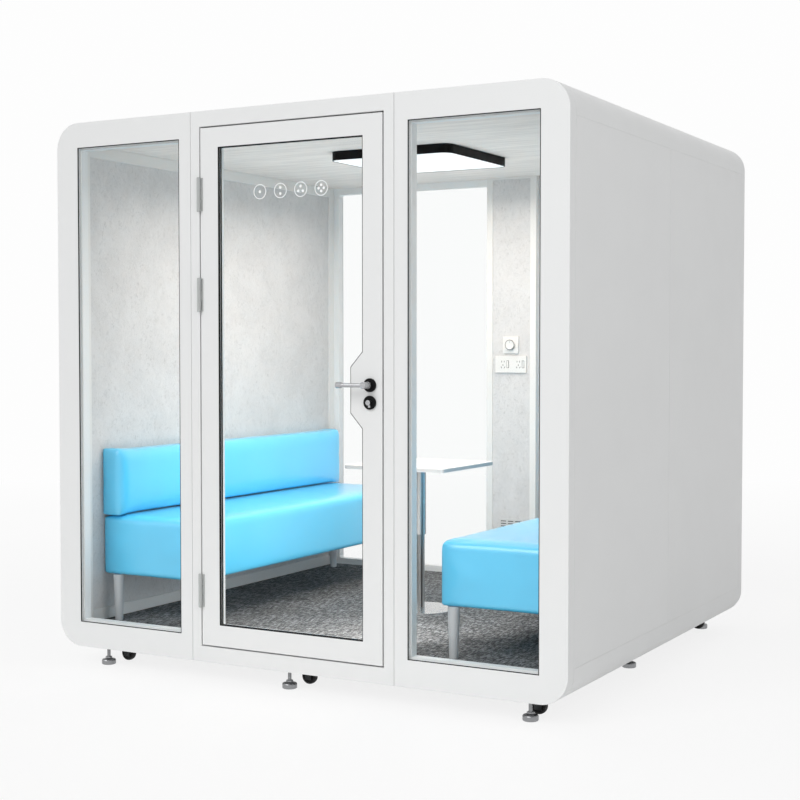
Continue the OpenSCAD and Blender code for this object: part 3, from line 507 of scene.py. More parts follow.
def wall_felt(name, light, dark):
    """Pressed felt: soft clouds with small dabs and flecks, light and dark, and a fibrous nap."""
    finish = Finish(name, light, 0.95)
    clouds = finish.noise(finish.places(), 5.0, detail=5.0, roughness=0.6, distortion=0.6)
    upright = finish.places((1, 1, 0.7))
    dabs = finish.noise(upright, 30.0, detail=6.0, roughness=0.76, distortion=1.8)
    flecks = finish.noise(upright, 66.0, detail=4.0, roughness=0.7, distortion=2.0)
    fibres = finish.noise(upright, 520.0, detail=3.0, roughness=0.7)
    pale = [min(part, 0.9) for part in shade(light, 1.08)]
    finish.layers(
        light,
        (clouds, 0.36, 0.68, 0.45, dark),
        (dabs, 0.54, 0.64, 0.45, shade(dark, 0.9)),
        (dabs, 0.42, 0.34, 0.4, pale),
        (flecks, 0.58, 0.65, 0.55, shade(dark, 0.76)),
        (flecks, 0.43, 0.36, 0.6, pale),
        (fibres, 0.35, 0.75, 0.1, dark),
    )
    finish.put(Sheen_Weight=0.15, Sheen_Roughness=0.6, Specular_IOR_Level=0.2)
    finish.bump(finish.sum(fibres, dabs), 0.3, 0.0008)
    return finish.material


def loop_carpet(name, light, dark):
    """Speckled loop pile with lighter tufts that lean along the booth's depth."""
    finish = Finish(name, dark, 0.98)
    here = finish.places()
    loops = finish.noise(here, 170.0, detail=2.5, roughness=0.7)
    lean = finish.noise(finish.places((1, 0.25, 1)), 120.0, detail=3.0, roughness=0.7)
    tufts = finish.node("ShaderNodeTexVoronoi", Vector=here, Scale=210.0).outputs["Distance"]
    patches = finish.noise(here, 9.0, detail=3.0, roughness=0.6)
    finish.layers(
        finish.blend(finish.between(loops, 0.40, 0.64, 0.1, 0.7), dark, light),
        (lean, 0.52, 0.60, 0.8, light),
        (lean, 0.50, 0.42, 0.8, dark),
        (patches, 0.40, 0.70, 0.4, dark),
        (tufts, 0.55, 0.85, 0.4, shade(dark, 0.5)),
    )
    finish.put(Sheen_Weight=0.1, Specular_IOR_Level=0.15)
    finish.bump(finish.sum(loops, tufts, "SUBTRACT"), 0.8, 0.003)
    return finish.material


def streaked_board(name, light, dark):
    """Ceiling laminate with long streaks across the booth."""
    finish = Finish(name, light, 0.6)
    streaks = finish.noise(finish.places((0.9, 14, 14)), 4.0, detail=6.0, roughness=0.62, distortion=0.3)
    fine = finish.noise(finish.places((3, 60, 60)), 5.0, detail=4.0)
    finish.layers(light, (streaks, 0.36, 0.66, 1.0, dark), (fine, 0.4, 0.7, 0.35, shade(light, 0.93)))
    finish.put(Specular_IOR_Level=0.3)
    finish.bump(streaks, 0.15, 0.0006)
    return finish.material


def soft_cover(name, base):
    """Smooth coated cloth with a fine grain and a silky top coat."""
    finish = Finish(name, base, 0.42)
    here = finish.places()
    grain = finish.node("ShaderNodeTexVoronoi", Vector=here, Scale=620.0).outputs["Distance"]
    finish.layers(base, (finish.noise(here, 3.2, detail=2.0), 0.35, 0.7, 1.0, shade(base, 0.95)))
    finish.gloss(finish.noise(here, 22.0), 0.38, 0.48)
    finish.put(Coat_Weight=1.0, Coat_Roughness=0.24, Coat_IOR=1.75)
    finish.put(Sheen_Weight=1.0, Sheen_Roughness=0.12, Sheen_Tint=(0.88, 0.96, 1, 1))
    finish.bump(finish.sum(grain, finish.noise(here, 60.0)), 0.14, 0.0005)
    return finish.material


def rubber_skin(name, base, roughness=0.7):
    """Dull rubber with a fine grain."""
    finish = Finish(name, base, roughness)
    here = finish.places()
    finish.put(Specular_IOR_Level=0.3)
    finish.gloss(finish.noise(here, 30.0), roughness - 0.1, roughness + 0.1)
    finish.bump(finish.noise(here, 900.0, detail=2.0), 0.2, 0.0003)
    return finish.material


def metal(name, base, roughness, stretch=(1, 1, 1), grain=160.0, bare=1.0):
    """Metal, bare or under a grey lacquer, brushed along the axis with the smallest stretch."""
    finish = Finish(name, base, roughness, metallic=bare)
    brushed = finish.noise(finish.places(stretch), grain, detail=3.0)
    finish.gloss(brushed, roughness * 0.75, roughness * 1.25)
    finish.bump(brushed, 0.02, 0.0002)
    return finish.material


def chrome_with_painted_reflections(name, base):
    """Polished tube with streaks along it: dark ones painted into its colour as painted reflections, and a
    gloss that varies with them.
    """
    finish = Finish(name, base, 0.2, metallic=0.6)
    streaks = finish.noise(finish.places((1, 1, 0.01)), 52.0, detail=2.0, roughness=0.6)
    # Painted reflection: dark streaks in the base colour stand for dark surroundings mirrored along the
    # tube
    finish.layers(base, (streaks, 0.42, 0.58, 1.0, shade(base, 0.12)))
    finish.gloss(streaks, 0.14, 0.26)
    finish.bump(finish.noise(finish.places(), 90.0), 0.02, 0.0002)
    return finish.material


def fibre_board(name, base):
    """Pressed board with flat chips."""
    finish = Finish(name, base, 0.85)
    chips = finish.noise(finish.places((1, 1, 3)), 90.0, detail=5.0, roughness=0.7)
    finish.layers(base, (chips, 0.35, 0.7, 1.0, shade(base, 0.7)))
    finish.bump(chips, 0.3, 0.001)
    return finish.material


def clear_pane(name):
    """Clear glass: what lies behind shows through, and the surface mirrors more at flat angles."""
    finish = Finish(name, srgb(238, 243, 243), 0.02, metallic=1.0)
    finish.gloss(finish.noise(finish.places(), 2.2, detail=4.0), 0.01, 0.05)
    through = finish.node("ShaderNodeBsdfTransparent", Color=(0.992, 0.995, 0.994, 1))
    rim = finish.node("ShaderNodeLayerWeight", Blend=0.2)
    share = finish.between(rim.outputs["Fresnel"], 0.06, 1.0, 0.0, 0.4)
    return finish.mixed(share, through, finish.shader)


def glowing_panel(name, strength):
    """Frosted diffuser, lit from behind."""
    finish = Finish(name, srgb(246, 247, 248), 0.6)
    here = finish.places()
    finish.put(Emission_Color=(1, 0.94, 0.9, 1), Emission_Strength=strength)
    finish.gloss(finish.noise(here, 3.0, detail=1.0), 0.55, 0.65)
    finish.bump(finish.noise(here, 400.0), 0.05, 0.0002)
    return finish.material


def finishes():
    """One material for each of the record's slots, and two for single nodes."""
    tone = colours()
    return {
        "white_paint": powder_coat("white powder coat", tone.paint),
        "side_paint": powder_coat("side powder coat", tone.paint),
        "clear_glass": clear_pane("clear glass"),
        "black_rubber": rubber_skin("black rubber", tone.rubber),
        "core_board": fibre_board("core board", srgb(196, 170, 132)),
        "wall_felt": wall_felt("marbled felt", tone.felt_light, tone.felt_dark),
        "carpet_pile": loop_carpet("loop carpet", tone.carpet_light, tone.carpet_dark),
        "white_plastic": satin_plastic("white satin trim", tone.trim),
        "ceiling_board": streaked_board("streaked ceiling board", tone.ceiling_light, tone.ceiling_dark),
        "black_plastic": satin_plastic("black plastic", tone.black, 0.5, shine=0.12),
        "diffuser_white": glowing_panel("frosted diffuser", 0.3),
        "hinge_metal": powder_coat("hinge paint", tone.hinge),
        "satin_steel": metal("satin steel", tone.steel, 0.24, stretch=(0.1, 1, 1)),
        "zinc_steel": metal("zinc plate", tone.zinc, 0.34, grain=60.0),
        "structure_steel": powder_coat("dark primer", srgb(38, 39, 41)),
        "polished_chrome": chrome_with_painted_reflections("polished chrome", tone.chrome),
        "table_base": metal("polished disc", tone.chrome, 0.2, bare=0.7),
        "vent_grille": satin_plastic("vent paint", tone.vent, 0.5),
        "table_laminate": satin_plastic("white laminate", tone.laminate, 0.3),
        "blue_upholstery": soft_cover("blue upholstery", tone.upholstery),
        "leg_paint": satin_plastic("leg paint", tone.leg, 0.4),
        "wheel_rubber": rubber_skin("wheel rubber", tone.rubber, 0.55),
    }


# Operators


class BoothOperator(bpy.types.Operator):
    """Shared by the booth's operators."""

    bl_options = {"REGISTER", "UNDO"}


class BOOTH_OT_finishes(BoothOperator):
    """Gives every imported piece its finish"""

    bl_idname = "booth.finishes"
    bl_label = "Finishes"

    def execute(self, context):
        made = finishes()
        for name, obj in NODES.items():
            obj.data.materials.clear()
            obj.data.materials.append(made.get(name, made[SLOT_OF[name]]))
        return {"FINISHED"}


class BOOTH_OT_soft_edges(BoothOperator):
    """Rounds the edges of frames, panels and fittings"""

    bl_idname = "booth.soft_edges"
    bl_label = "Rounded edges"

    def execute(self, context):
        size = sizes()
        widths = (
            (size.sheet_edge, ("front_left_frame", "front_right_frame", "door_frame", "door_stop",
                               "door_leaf", "back_frame", "service_column", "wall_trims", "felt_panels",
                               "carpet")),
            (size.panel_edge, ("left_side_panels", "right_side_panels", "roof_shell", "lower_shell",
                               "control_plates", "light_housing", "sofa_legs")),
            (size.fine_edge, ("frame_hinges", "door_hinges", "lock_set", "strike_plate", "vent_grille",
                              "lever_handle", "base_frame")),
            (size.table_edge, ("table_top", "table_base")),
        )
        for width, nodes in widths:
            for node in nodes:
                softened(node, width)
        softened("thumb_turn", size.shaft_edge, size.running_gap)
        return {"FINISHED"}


def rest_at(low, high, axis, side):
    """Where a cushion's space ends on one side of an axis."""
    return (high if side > 0 else low)[axis]


def cushion_blank(low, high, rests):
    """A block inside a cushion's space, set back on its free sides, with soft free edges."""
    size = sizes()
    inset = size.cushion_shrink
    low = Vector([a + (0 if (axis, -1) in rests else inset) for axis, a in enumerate(low)])
    high = Vector([a - (0 if (axis, 1) in rests else inset) for axis, a in enumerate(high)])
    obj = block(low, high)
    edit()
    bpy.ops.mesh.select_mode(type="EDGE")
    mesh = bmesh.from_edit_mesh(obj.data)
    for edge in mesh.edges:
        middle = (edge.verts[0].co + edge.verts[1].co) / 2
        edge.select = all(abs(middle[axis] - rest_at(low, high, axis, side)) > MM for axis, side in rests)
    bmesh.update_edit_mesh(obj.data)
    bpy.ops.mesh.bevel(offset=size.cushion_edge, segments=5, affect="EDGES")
    end_edit()
    remesh = obj.modifiers.new("Voxels", "REMESH")
    remesh.mode = "VOXEL"
    remesh.voxel_size = size.cushion_voxel
    apply_modifiers(obj)
    return obj


def swell(obj):
    """Blows a cover up from inside, within a limit."""
    size = sizes()
    scene = bpy.context.scene
    rest = [point.co.copy() for point in obj.data.vertices]
    cloth = obj.modifiers.new("Cover", "CLOTH")
    cloth.settings.quality = 4
    cloth.settings.use_pressure = True
    cloth.settings.uniform_pressure_force = size.pressure
    cloth.settings.effector_weights.gravity = 0
    cloth.point_cache.frame_start = 1
    cloth.point_cache.frame_end = size.frames
    for number in range(1, size.frames + 1):
        scene.frame_set(number)
    apply_modifiers(obj)
    scene.frame_set(1)
    most = size.cushion_swell
    for point, before in zip(obj.data.vertices, rest):
        move = point.co - before
        if move.length > 0:
            point.co = before + move.normalized() * most * math.tanh(move.length / most)


def press(obj, low, high, rests):
    """Flattens a cushion where it rests on something."""
    for point in obj.data.vertices:
        for axis, side in rests:
            limit = rest_at(low, high, axis, side)
            if (point.co[axis] - limit) * side > 0:
                point.co[axis] = limit


def relax(obj, low, high, rests):
    """Takes the small wrinkles out of a swollen cover, but keeps its edges where it rests."""
    size = sizes()
    free = obj.vertex_groups.new(name="free")
    for point in obj.data.vertices:
        near = min(abs(point.co[axis] - rest_at(low, high, axis, side)) for axis, side in rests)
        free.add([point.index], min(near / size.cushion_edge, 1), "REPLACE")
    calm = obj.modifiers.new("Calm", "SMOOTH")
    calm.factor = 0.5
    calm.iterations = size.relax_passes
    calm.vertex_group = free.name
    apply_modifiers(obj)
    obj.vertex_groups.clear()


def fill_space(obj, low, high):
    """Stretches a cushion a little, so that it fills its space to the edges."""
    points = obj.data.vertices
    for axis in range(3):
        places = [point.co[axis] for point in points]
        least, most = min(places), max(places)
        grow = (high[axis] - low[axis]) / (most - least)
        for point in points:
            point.co[axis] = low[axis] + (point.co[axis] - least) * grow


def keep_inside(obj, low, high):
    """Flattens a cushion where it meets the edge of its space."""
    for point in obj.data.vertices:
        point.co = [min(max(c, a), b) for c, a, b in zip(point.co, low, high)]


class BOOTH_OT_cushions(BoothOperator):
    """Makes the seats and backs as covers that swell over their foam"""

    bl_idname = "booth.cushions"
    bl_label = "Seats and backs"

    def execute(self, context):
        sides = [(2, -1), (0, 1)]
        for node in ("right_seat", "right_back"):
            low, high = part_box(node)
            obj = cushion_blank(low, high, sides)
            swell(obj)
            press(obj, low, high, sides)
            relax(obj, low, high, sides)
            fill_space(obj, low, high)
            heal(obj)
            smoothing = obj.modifiers.new("Cover", "SUBSURF")
            smoothing.levels = smoothing.render_levels = 1
            apply_modifiers(obj)
            keep_inside(obj, low, high)
            for part, name in ((twin(obj, flip_x=True), node.replace("right", "left")), (obj, node)):
                stand_in(smooth(part, degrees=60), f"{name}_cover", name)
        return {"FINISHED"}


def thread(low, high, radius, pitch, depth):
    """A screw thread along +Z, as one closed helical ridge with three sides."""
    ridge_r = pitch * 0.55
    bpy.ops.mesh.primitive_circle_add(
        vertices=3, radius=ridge_r, fill_type="NOTHING", location=(radius - depth, 0, low),
        rotation=(math.pi / 2, 0, math.pi / 2),
    )
    obj = settle(bpy.context.object)
    screw = obj.modifiers.new("Thread", "SCREW")
    screw.axis = "Z"
    screw.steps = screw.render_steps = THREAD_STEPS
    screw.screw_offset = pitch
    screw.iterations = int((high - low) / pitch)
    apply_modifiers(obj)
    edit("DESELECT")
    bpy.ops.mesh.select_mode(type="EDGE")
    bpy.ops.mesh.select_non_manifold(extend=False)
    bpy.ops.mesh.fill_holes(sides=4)
    end_edit()
    return heal(obj)


class BOOTH_OT_levelling_feet(BoothOperator):
    """Makes the eight levelling feet: pad, lock nut and threaded stem"""

    bl_idname = "booth.levelling_feet"
    bl_label = "Levelling feet"

    def execute(self, context):
        low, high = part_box("foot_1")
        pad_r = (high.x - low.x) / 2
        pad_h, stem_r, nut_r, nut_h = 23 * MM, 8 * MM, 14 * MM, 8 * MM
        thread_depth, thread_top = 0.9 * MM, 92 * MM
        core_r = stem_r - thread_depth
        pad = turned([
            (pad_r - 4 * MM, 0), (pad_r - 1 * MM, 1.6 * MM), (pad_r, 4 * MM), (pad_r, pad_h - 5 * MM),
            (pad_r - 2.5 * MM, pad_h - 1.4 * MM), (pad_r - 7 * MM, pad_h), (nut_r + 4 * MM, pad_h),
            (nut_r + 2 * MM, pad_h + 1.6 * MM), (core_r, pad_h + 1.6 * MM),
        ], sides=16)
        round_edges(pad, 0.5 * MM, degrees=15)
        nut_z = pad_h + 2.4 * MM
        nut = turned([(nut_r - 1.2 * MM, nut_z), (nut_r, nut_z + 1 * MM), (nut_r, nut_z + nut_h - 1 * MM),
                      (nut_r - 1.2 * MM, nut_z + nut_h)], sides=6)
        stem = turned([(core_r, pad_h), (core_r, high.z - 1 * MM), (core_r - 1 * MM, high.z)], sides=24)
        smooth(stem)
        screw = thread(nut_z + nut_h, thread_top, stem_r, sizes().thread_pitch, thread_depth)
        stand_in_copies(joined([pad, nut, stem, screw]), "levelling_foot", "foot", 8)
        return {"FINISHED"}


class BOOTH_OT_transport_wheels(BoothOperator):
    """Makes the six transport wheels with a crowned tread and a recessed hub"""

    bl_idname = "booth.transport_wheels"
    bl_label = "Transport wheels"

    def execute(self, context):
        low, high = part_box("wheel_1")
        radius, half = (high.z - low.z) / 2, (high.y - low.y) / 2
        hub, rim = 11 * MM, radius - 10 * MM
        side = [(hub, 0), (hub, -1.6 * MM), (hub + 2 * MM, -1.6 * MM), (hub + 3 * MM, -4 * MM),
                (rim - 1 * MM, -4 * MM), (rim, -0.6 * MM), (rim + 1.6 * MM, 0), (radius - 4 * MM, 0),
                (radius - 1.2 * MM, -2.4 * MM)]
        steps = [(r, -half - z) for r, z in side] + [(radius, -half / 3), (radius, half / 3)]
        steps += [(r, half + z) for r, z in reversed(side)]
        wheel = facing(turned(steps, sides=48), (0, 1, 0), (0, 0, centre("wheel_1")[2]))
        stand_in_copies(smooth(wheel), "transport_wheel", "wheel", 6)
        return {"FINISHED"}


class BOOTH_OT_seam_fillers(BoothOperator):
    """Fills the seams round the side panels with a bead that lies a little back"""

    bl_idname = "booth.seam_fillers"
    bl_label = "Seam fillers"

    def execute(self, context):
        low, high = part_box("right_side_panels")
        foot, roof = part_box("lower_shell")[1].z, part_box("roof_shell")[0].z
        depth, thick = 1 * MM, 2 * MM
        front, back = high.x - depth, high.x - depth - thick
        middle, half = centre("right_side_panels")[1], (low.z - foot) / 2
        bead = joined([
            block((back, low.y, foot), (front, high.y, low.z)),
            block((back, low.y, high.z), (front, high.y, roof)),
            block((back, middle - half, low.z), (front, middle + half, high.z)),
        ])
        finish_piece(twin(bead, flip_x=True), "left_seam_filler", "left_side_panels")
        finish_piece(bead, "right_seam_filler", "right_side_panels")
        return {"FINISHED"}


class BOOTH_OT_table_edge(BoothOperator):
    """Paints the table top's sides grey, darker than its top, as painted shade"""

    bl_idname = "booth.table_edge"
    bl_label = "Table side shade"

    def execute(self, context):
        low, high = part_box("table_top")
        band = copy_of("table_top")
        edit()
        bpy.ops.mesh.select_mode(type="FACE")
        mesh = bmesh.from_edit_mesh(band.data)
        for face in mesh.faces:
            face.select = abs(face.normal.z) > 0.5
        bmesh.update_edit_mesh(band.data)
        bpy.ops.mesh.delete(type="FACE")
        bpy.ops.mesh.select_all(action="SELECT")
        height, edge, band_t = high.z - low.z, sizes().table_edge, 0.8 * MM
        middle = (0, 0, centre("table_top")[2])
        bpy.ops.transform.resize(value=(1, 1, 1 - 2 * edge / height), center_override=middle)
        end_edit()
        strip = band.modifiers.new("Band", "SOLIDIFY")
        strip.thickness = band_t
        strip.offset = 1
        apply_modifiers(band)
        smooth(heal(band), degrees=40)
        # Painted shade: the band's grey makes the sides darker than the top
        grey = satin_plastic("side shade", colours().side_shade, 0.7, shine=0.2)
        finish_piece(band, "table_side_shade", "table_top", material=grey)
        return {"FINISHED"}


class BOOTH_OT_door_glass_lip(BoothOperator):
    """Adds the thin dark lip that frames the door's glass just behind the leaf's face"""

    bl_idname = "booth.door_glass_lip"
    bl_label = "Lip round the door glass"

    def execute(self, context):
        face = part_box("door_leaf")[0].y
        depth, thick = 1 * MM, 1.2 * MM
        levels = sorted({round(point.co.y, 5) for point in NODES["door_gasket"].data.vertices})
        lip = copy_of("door_gasket")
        edit()
        mesh = bmesh.from_edit_mesh(lip.data)
        places = {levels[0]: face + depth, levels[1]: face + depth + thick}
        unused = []
        for point in mesh.verts:
            near = min(levels, key=lambda y: abs(y - point.co.y))
            if near in places:
                point.co.y = places[near]
            else:
                unused.append(point)
        bmesh.ops.delete(mesh, geom=unused, context="VERTS")
        bmesh.update_edit_mesh(lip.data)
        end_edit()
        finish_piece(heal(lip), "door_glass_lip", "door_gasket")
        return {"FINISHED"}


class BOOTH_OT_door_fittings(BoothOperator):
    """Adds the rosettes' rims, the lever's bosses and end caps, the keyed cylinder and the hinges' caps"""

    bl_idname = "booth.door_fittings"
    bl_label = "Door fittings"

    def execute(self, context):
        lock_low, lock_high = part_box("lock_set")
        lever_low, lever_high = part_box("lever_handle")
        axis_x, _, turn_z = centre("thumb_turn")
        lever_z = centre("lever_handle")[2]
        sides = ((lock_low.y, lever_low.y, -1, "outer"), (lock_high.y, lever_high.y, 1, "inner"))
        rim_r, rim_w, rim_h = 21 * MM, 2.4 * MM, 1.6 * MM
        for y, tip_y, out, side in sides:
            for z, label in ((lever_z, "lever"), (turn_z, "lock")):
                rim = facing(ring(rim_r, rim_w, rim_h), (0, out, 0), (axis_x, y, z))
                finish_piece(smooth(rim, degrees=20), f"{label}_{side}_rim", "lock_set")
            self.lever_caps(side, out, (axis_x, lever_z), y, tip_y, lever_low.x, lever_high.z - lever_z)
        half_w, leg_top, leg_foot, out = 5 * MM, 9.4 * MM, 19 * MM, 2.2 * MM
        leg = block(
            (axis_x - half_w, lock_low.y - out, turn_z - leg_foot),
            (axis_x + half_w, lock_low.y + out, turn_z - leg_top),
        )
        finish_piece(round_edges(leg, 1.4 * MM, segments=3), "key_cylinder_leg", "thumb_turn", body="door")
        self.hinge_caps()
        return {"FINISHED"}

    def lever_caps(self, side, out, axis, rosette_y, tip_y, end_x, bar_r):
        """Puts a round boss over the lever's bend and a cap over its free end."""
        axis_x, lever_z = axis
        boss_r, gap = bar_r + 3.5 * MM, 1.4 * MM
        height = abs(tip_y - rosette_y) + 1 * MM
        boss = turned([
            (boss_r, gap), (boss_r + 1 * MM, gap + 1 * MM), (boss_r + 1 * MM, height * 0.3),
            (boss_r, height * 0.3 + 1 * MM), (boss_r, height - 2.5 * MM), (boss_r - 2.5 * MM, height),
        ])
        facing(boss, (0, out, 0), (axis_x, rosette_y, lever_z))
        finish_piece(smooth(boss, degrees=40), f"lever_{side}_boss", "lever_handle")
        cap_r, cap_l = bar_r + 2.5 * MM, 24 * MM
        cap = turned([
            (cap_r - 1.5 * MM, 0), (cap_r, 1.5 * MM), (cap_r, cap_l - 4 * MM),
            (cap_r - 1.2 * MM, cap_l - 1.6 * MM), (cap_r - 4 * MM, cap_l),
        ], sides=32)
        facing(cap, (-1, 0, 0), (end_x + cap_l - 1 * MM, tip_y - out * bar_r, lever_z))
        finish_piece(smooth(cap, degrees=40), f"lever_{side}_cap", "lever_handle")

    def hinge_caps(self):
        """Closes each hinge barrel with low buttons at its top and foot.

        Each end gets two, one nearly inside the other, because the pin ends just inside its barrel.
        """
        low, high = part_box("frame_hinges")
        barrel_r, cap, hinge_h = 8 * MM, 2.2 * MM, 132 * MM
        x, y = high.x - barrel_r, low.y + barrel_r
        levels = sorted({round(v.co.z, 4) for v in NODES["frame_hinges"].data.vertices})
        tops = [z for z in levels if any(abs(z - hinge_h - other) < MM for other in levels)]
        for number, top in enumerate(tops, 1):
            for z, up, end in ((top, 1, "top"), (top - hinge_h, -1, "foot")):
                button = turned([
                    (barrel_r - 0.6 * MM, 0), (barrel_r - 0.4 * MM, 0.6 * cap), (barrel_r - 2.4 * MM, cap),
                ], sides=28)
                facing(button, (0, 0, up), (x, y, z))
                finish_piece(smooth(button, degrees=50), f"hinge_{number}_{end}_cap", "frame_hinges")


class BOOTH_OT_vent_slot_shade(BoothOperator):
    """Puts black strips in the slots of the inner and the outer grille, as painted shade inside the slots
    """

    bl_idname = "booth.vent_mesh"
    bl_label = "Vent slot shade"

    def execute(self, context):
        low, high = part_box("vent_grille")
        slot_l, slot_h, rows, columns = 30 * MM, 4 * MM, 9, 3
        row_pitch, column_pitch = 13 * MM, 40 * MM
        depth, thick = 0.5 * MM, 0.7 * MM
        middle = (low + high) / 2
        strips = []
        for front in (low.y + depth, high.y - depth - thick):
            for number in range(rows * columns):
                row, column = divmod(number, columns)
                x = middle.x + (column - (columns - 1) / 2) * column_pitch
                z = middle.z + (row - (rows - 1) / 2) * row_pitch
                corner = Vector((x - slot_l / 2, front, z - slot_h / 2))
                strips.append(block(corner, corner + Vector((slot_l, thick, slot_h))))
        # Painted shade: black strips just behind the grilles' faces stand for the shade in the slots
        finish_piece(joined(strips), "vent_mesh", "light_housing")
        return {"FINISHED"}


class BOOTH_OT_glass_marks(BoothOperator):
    """Puts a row of plain rings with one to four dots on the door glass"""

    bl_idname = "booth.glass_marks"
    bl_label = "Marks on the door glass"

    def execute(self, context):
        size = sizes()
        low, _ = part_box("door_glass")
        height, film = 1.965, 0.15 * MM
        across = (-0.139, -0.043, 0.051, 0.145)
        dot_r, orbit = size.mark_radius * 0.2, size.mark_radius * 0.42
        white = satin_plastic("white film", srgb(250, 250, 250), 0.5)
        for count, x in enumerate(across, 1):
            parts = [ring(size.mark_radius, size.mark_width, film)]
            for number in range(count):
                around = math.tau * number / count + math.pi / 2
                away = orbit if count > 1 else 0
                dot = turned([(dot_r, 0), (dot_r, film)], sides=20)
                dot.location = (away * math.cos(around), away * math.sin(around), 0)
                parts.append(settle(dot))
            mark = joined(parts)
            facing(mark, (0, -1, 0), (x, low.y - film, height))
            finish_piece(mark, f"glass_mark_{count}", "control_plates", body="door", material=white)
        return {"FINISHED"}


class BOOTH_OT_controls(BoothOperator):
    """Adds the dimmer's knob, painted shade in the sockets' holes and their switches"""

    bl_idname = "booth.controls"
    bl_label = "Controls"

    def execute(self, context):
        plate_low, plate_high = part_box("control_plates")
        knob_low, knob_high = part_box("dimmer_knob")
        knob_z = centre("dimmer_knob")[2]
        radius = (knob_high.z - knob_low.z) / 2
        depth = plate_low.y - knob_low.y
        knob = turned([
            (3 * MM, -6 * MM), (3 * MM, 0.3 * MM), (radius - 0.5 * MM, 0.3 * MM), (radius, 1 * MM),
            (radius, depth - 3 * MM), (radius - 0.8 * MM, depth - 1.2 * MM),
            (radius - 2.4 * MM, depth - 0.1 * MM), (radius - 4 * MM, depth),
            (radius - 5 * MM, depth - 0.5 * MM), (4 * MM, depth - 0.5 * MM),
        ], sides=56)
        facing(knob, (0, -1, 0), (0, plate_low.y, knob_z))
        stand_in(smooth(knob, degrees=28), "dimmer_dial", "dimmer_knob")
        half_w, out, deep = 0.8 * MM, 0.1 * MM, 1 * MM
        pointer = block(
            (-half_w, knob_low.y - out, knob_z + radius * 0.45),
            (half_w, knob_low.y + deep, knob_z + radius * 0.72),
        )
        finish_piece(round_edges(pointer, 0.3 * MM), "dimmer_pointer", "light_housing", body="dimmer")
        # Painted shade: a dark ring on the knob's rim stands for the shade of the gap round the knob
        width, thick = sizes().gap_shade_width, 1.6 * MM
        band = ring(radius - width / 2, width, thick)
        facing(band, (0, -1, 0), (0, knob_low.y + thick, knob_z))
        finish_piece(band, "dimmer_gap_shade", "light_housing", body="dimmer")
        # Painted shade: black blocks in the sockets' holes
        finish_piece(self.hole_shades(plate_low, plate_high), "socket_hole_shade", "light_housing")
        self.switches(plate_low, plate_high)
        return {"FINISHED"}

    def hole_shades(self, low, high):
        """Black blocks in the holes of two sockets side by side: painted shade inside the holes."""
        half = (high.x - low.x) / 4
        middle = low.z + half
        front, back = low.y + 0.2 * MM, high.y - 3 * MM
        thin, tall = 1.9 * MM, 11 * MM
        made = []
        for x in (-half, half):
            hole_places = [(x - 7 * MM, 13.5 * MM, 0), (x + 7 * MM, 13.5 * MM, 0), (x, -4.5 * MM, 0),
                    (x - 9 * MM, -16 * MM, -30), (x + 9 * MM, -16 * MM, 30)]
            for hole_x, hole_z, lean in hole_places:
                # Painted shade: each pin is a black block that fills a socket hole and stands for the shade
                # inside it
                pin = block((-thin, front, -tall / 2), (thin, back, tall / 2))
                pin.rotation_euler = (0, math.radians(lean), 0)
                pin.location = (hole_x, 0, middle + hole_z)
                made.append(settle(pin))
        return joined(made)

    def switches(self, low, high):
        """A rocker beside each socket, in a dark surround."""
        half = (high.x - low.x) / 4
        middle = low.z + half
        aside, half_w, half_h, rim = 27 * MM, 4.5 * MM, 17 * MM, 1.8 * MM
        surrounds, rockers = [], []
        for x in (aside - half, aside + half):
            for made, grow, out in ((surrounds, rim, 0.5 * MM), (rockers, 0, 2 * MM)):
                made.append(block(
                    (x - half_w - grow, low.y - out, middle - half_h - grow),
                    (x + half_w + grow, low.y + 1 * MM, middle + half_h + grow),
                ))
        finish_piece(joined(surrounds), "switch_surrounds", "light_housing")
        finish_piece(round_edges(joined(rockers), 0.8 * MM), "switch_rockers", "control_plates")


def soft_light(name, place, size, power, target=None, tint=(1, 1, 1)):
    """A square light that the camera doesn't see and that shines down, or at a target."""
    bpy.ops.object.light_add(type="AREA", location=place)
    light = bpy.context.object
    light.name = name
    light.data.shape = "SQUARE"
    light.data.size = size
    light.data.energy = power
    light.data.color = tint
    light.visible_camera = light.visible_glossy = False
    if target is not None:
        light.rotation_euler = (Vector(place) - Vector(target)).to_track_quat("Z", "Y").to_euler()
    return light


def seen_as_background(tree):
    """One where the camera, a mirror or clear glass sees the surface, and nought for other light."""
    path = tree.nodes.new("ShaderNodeLightPath")
    seen = path.outputs["Is Camera Ray"]
    for output in ("Is Glossy Ray", "Is Transmission Ray"):
        both = tree.nodes.new("ShaderNodeMath")
        both.operation = "MAXIMUM"
        tree.links.new(seen, both.inputs[0])
        tree.links.new(path.outputs[output], both.inputs[1])
        seen = both.outputs[0]
    return seen


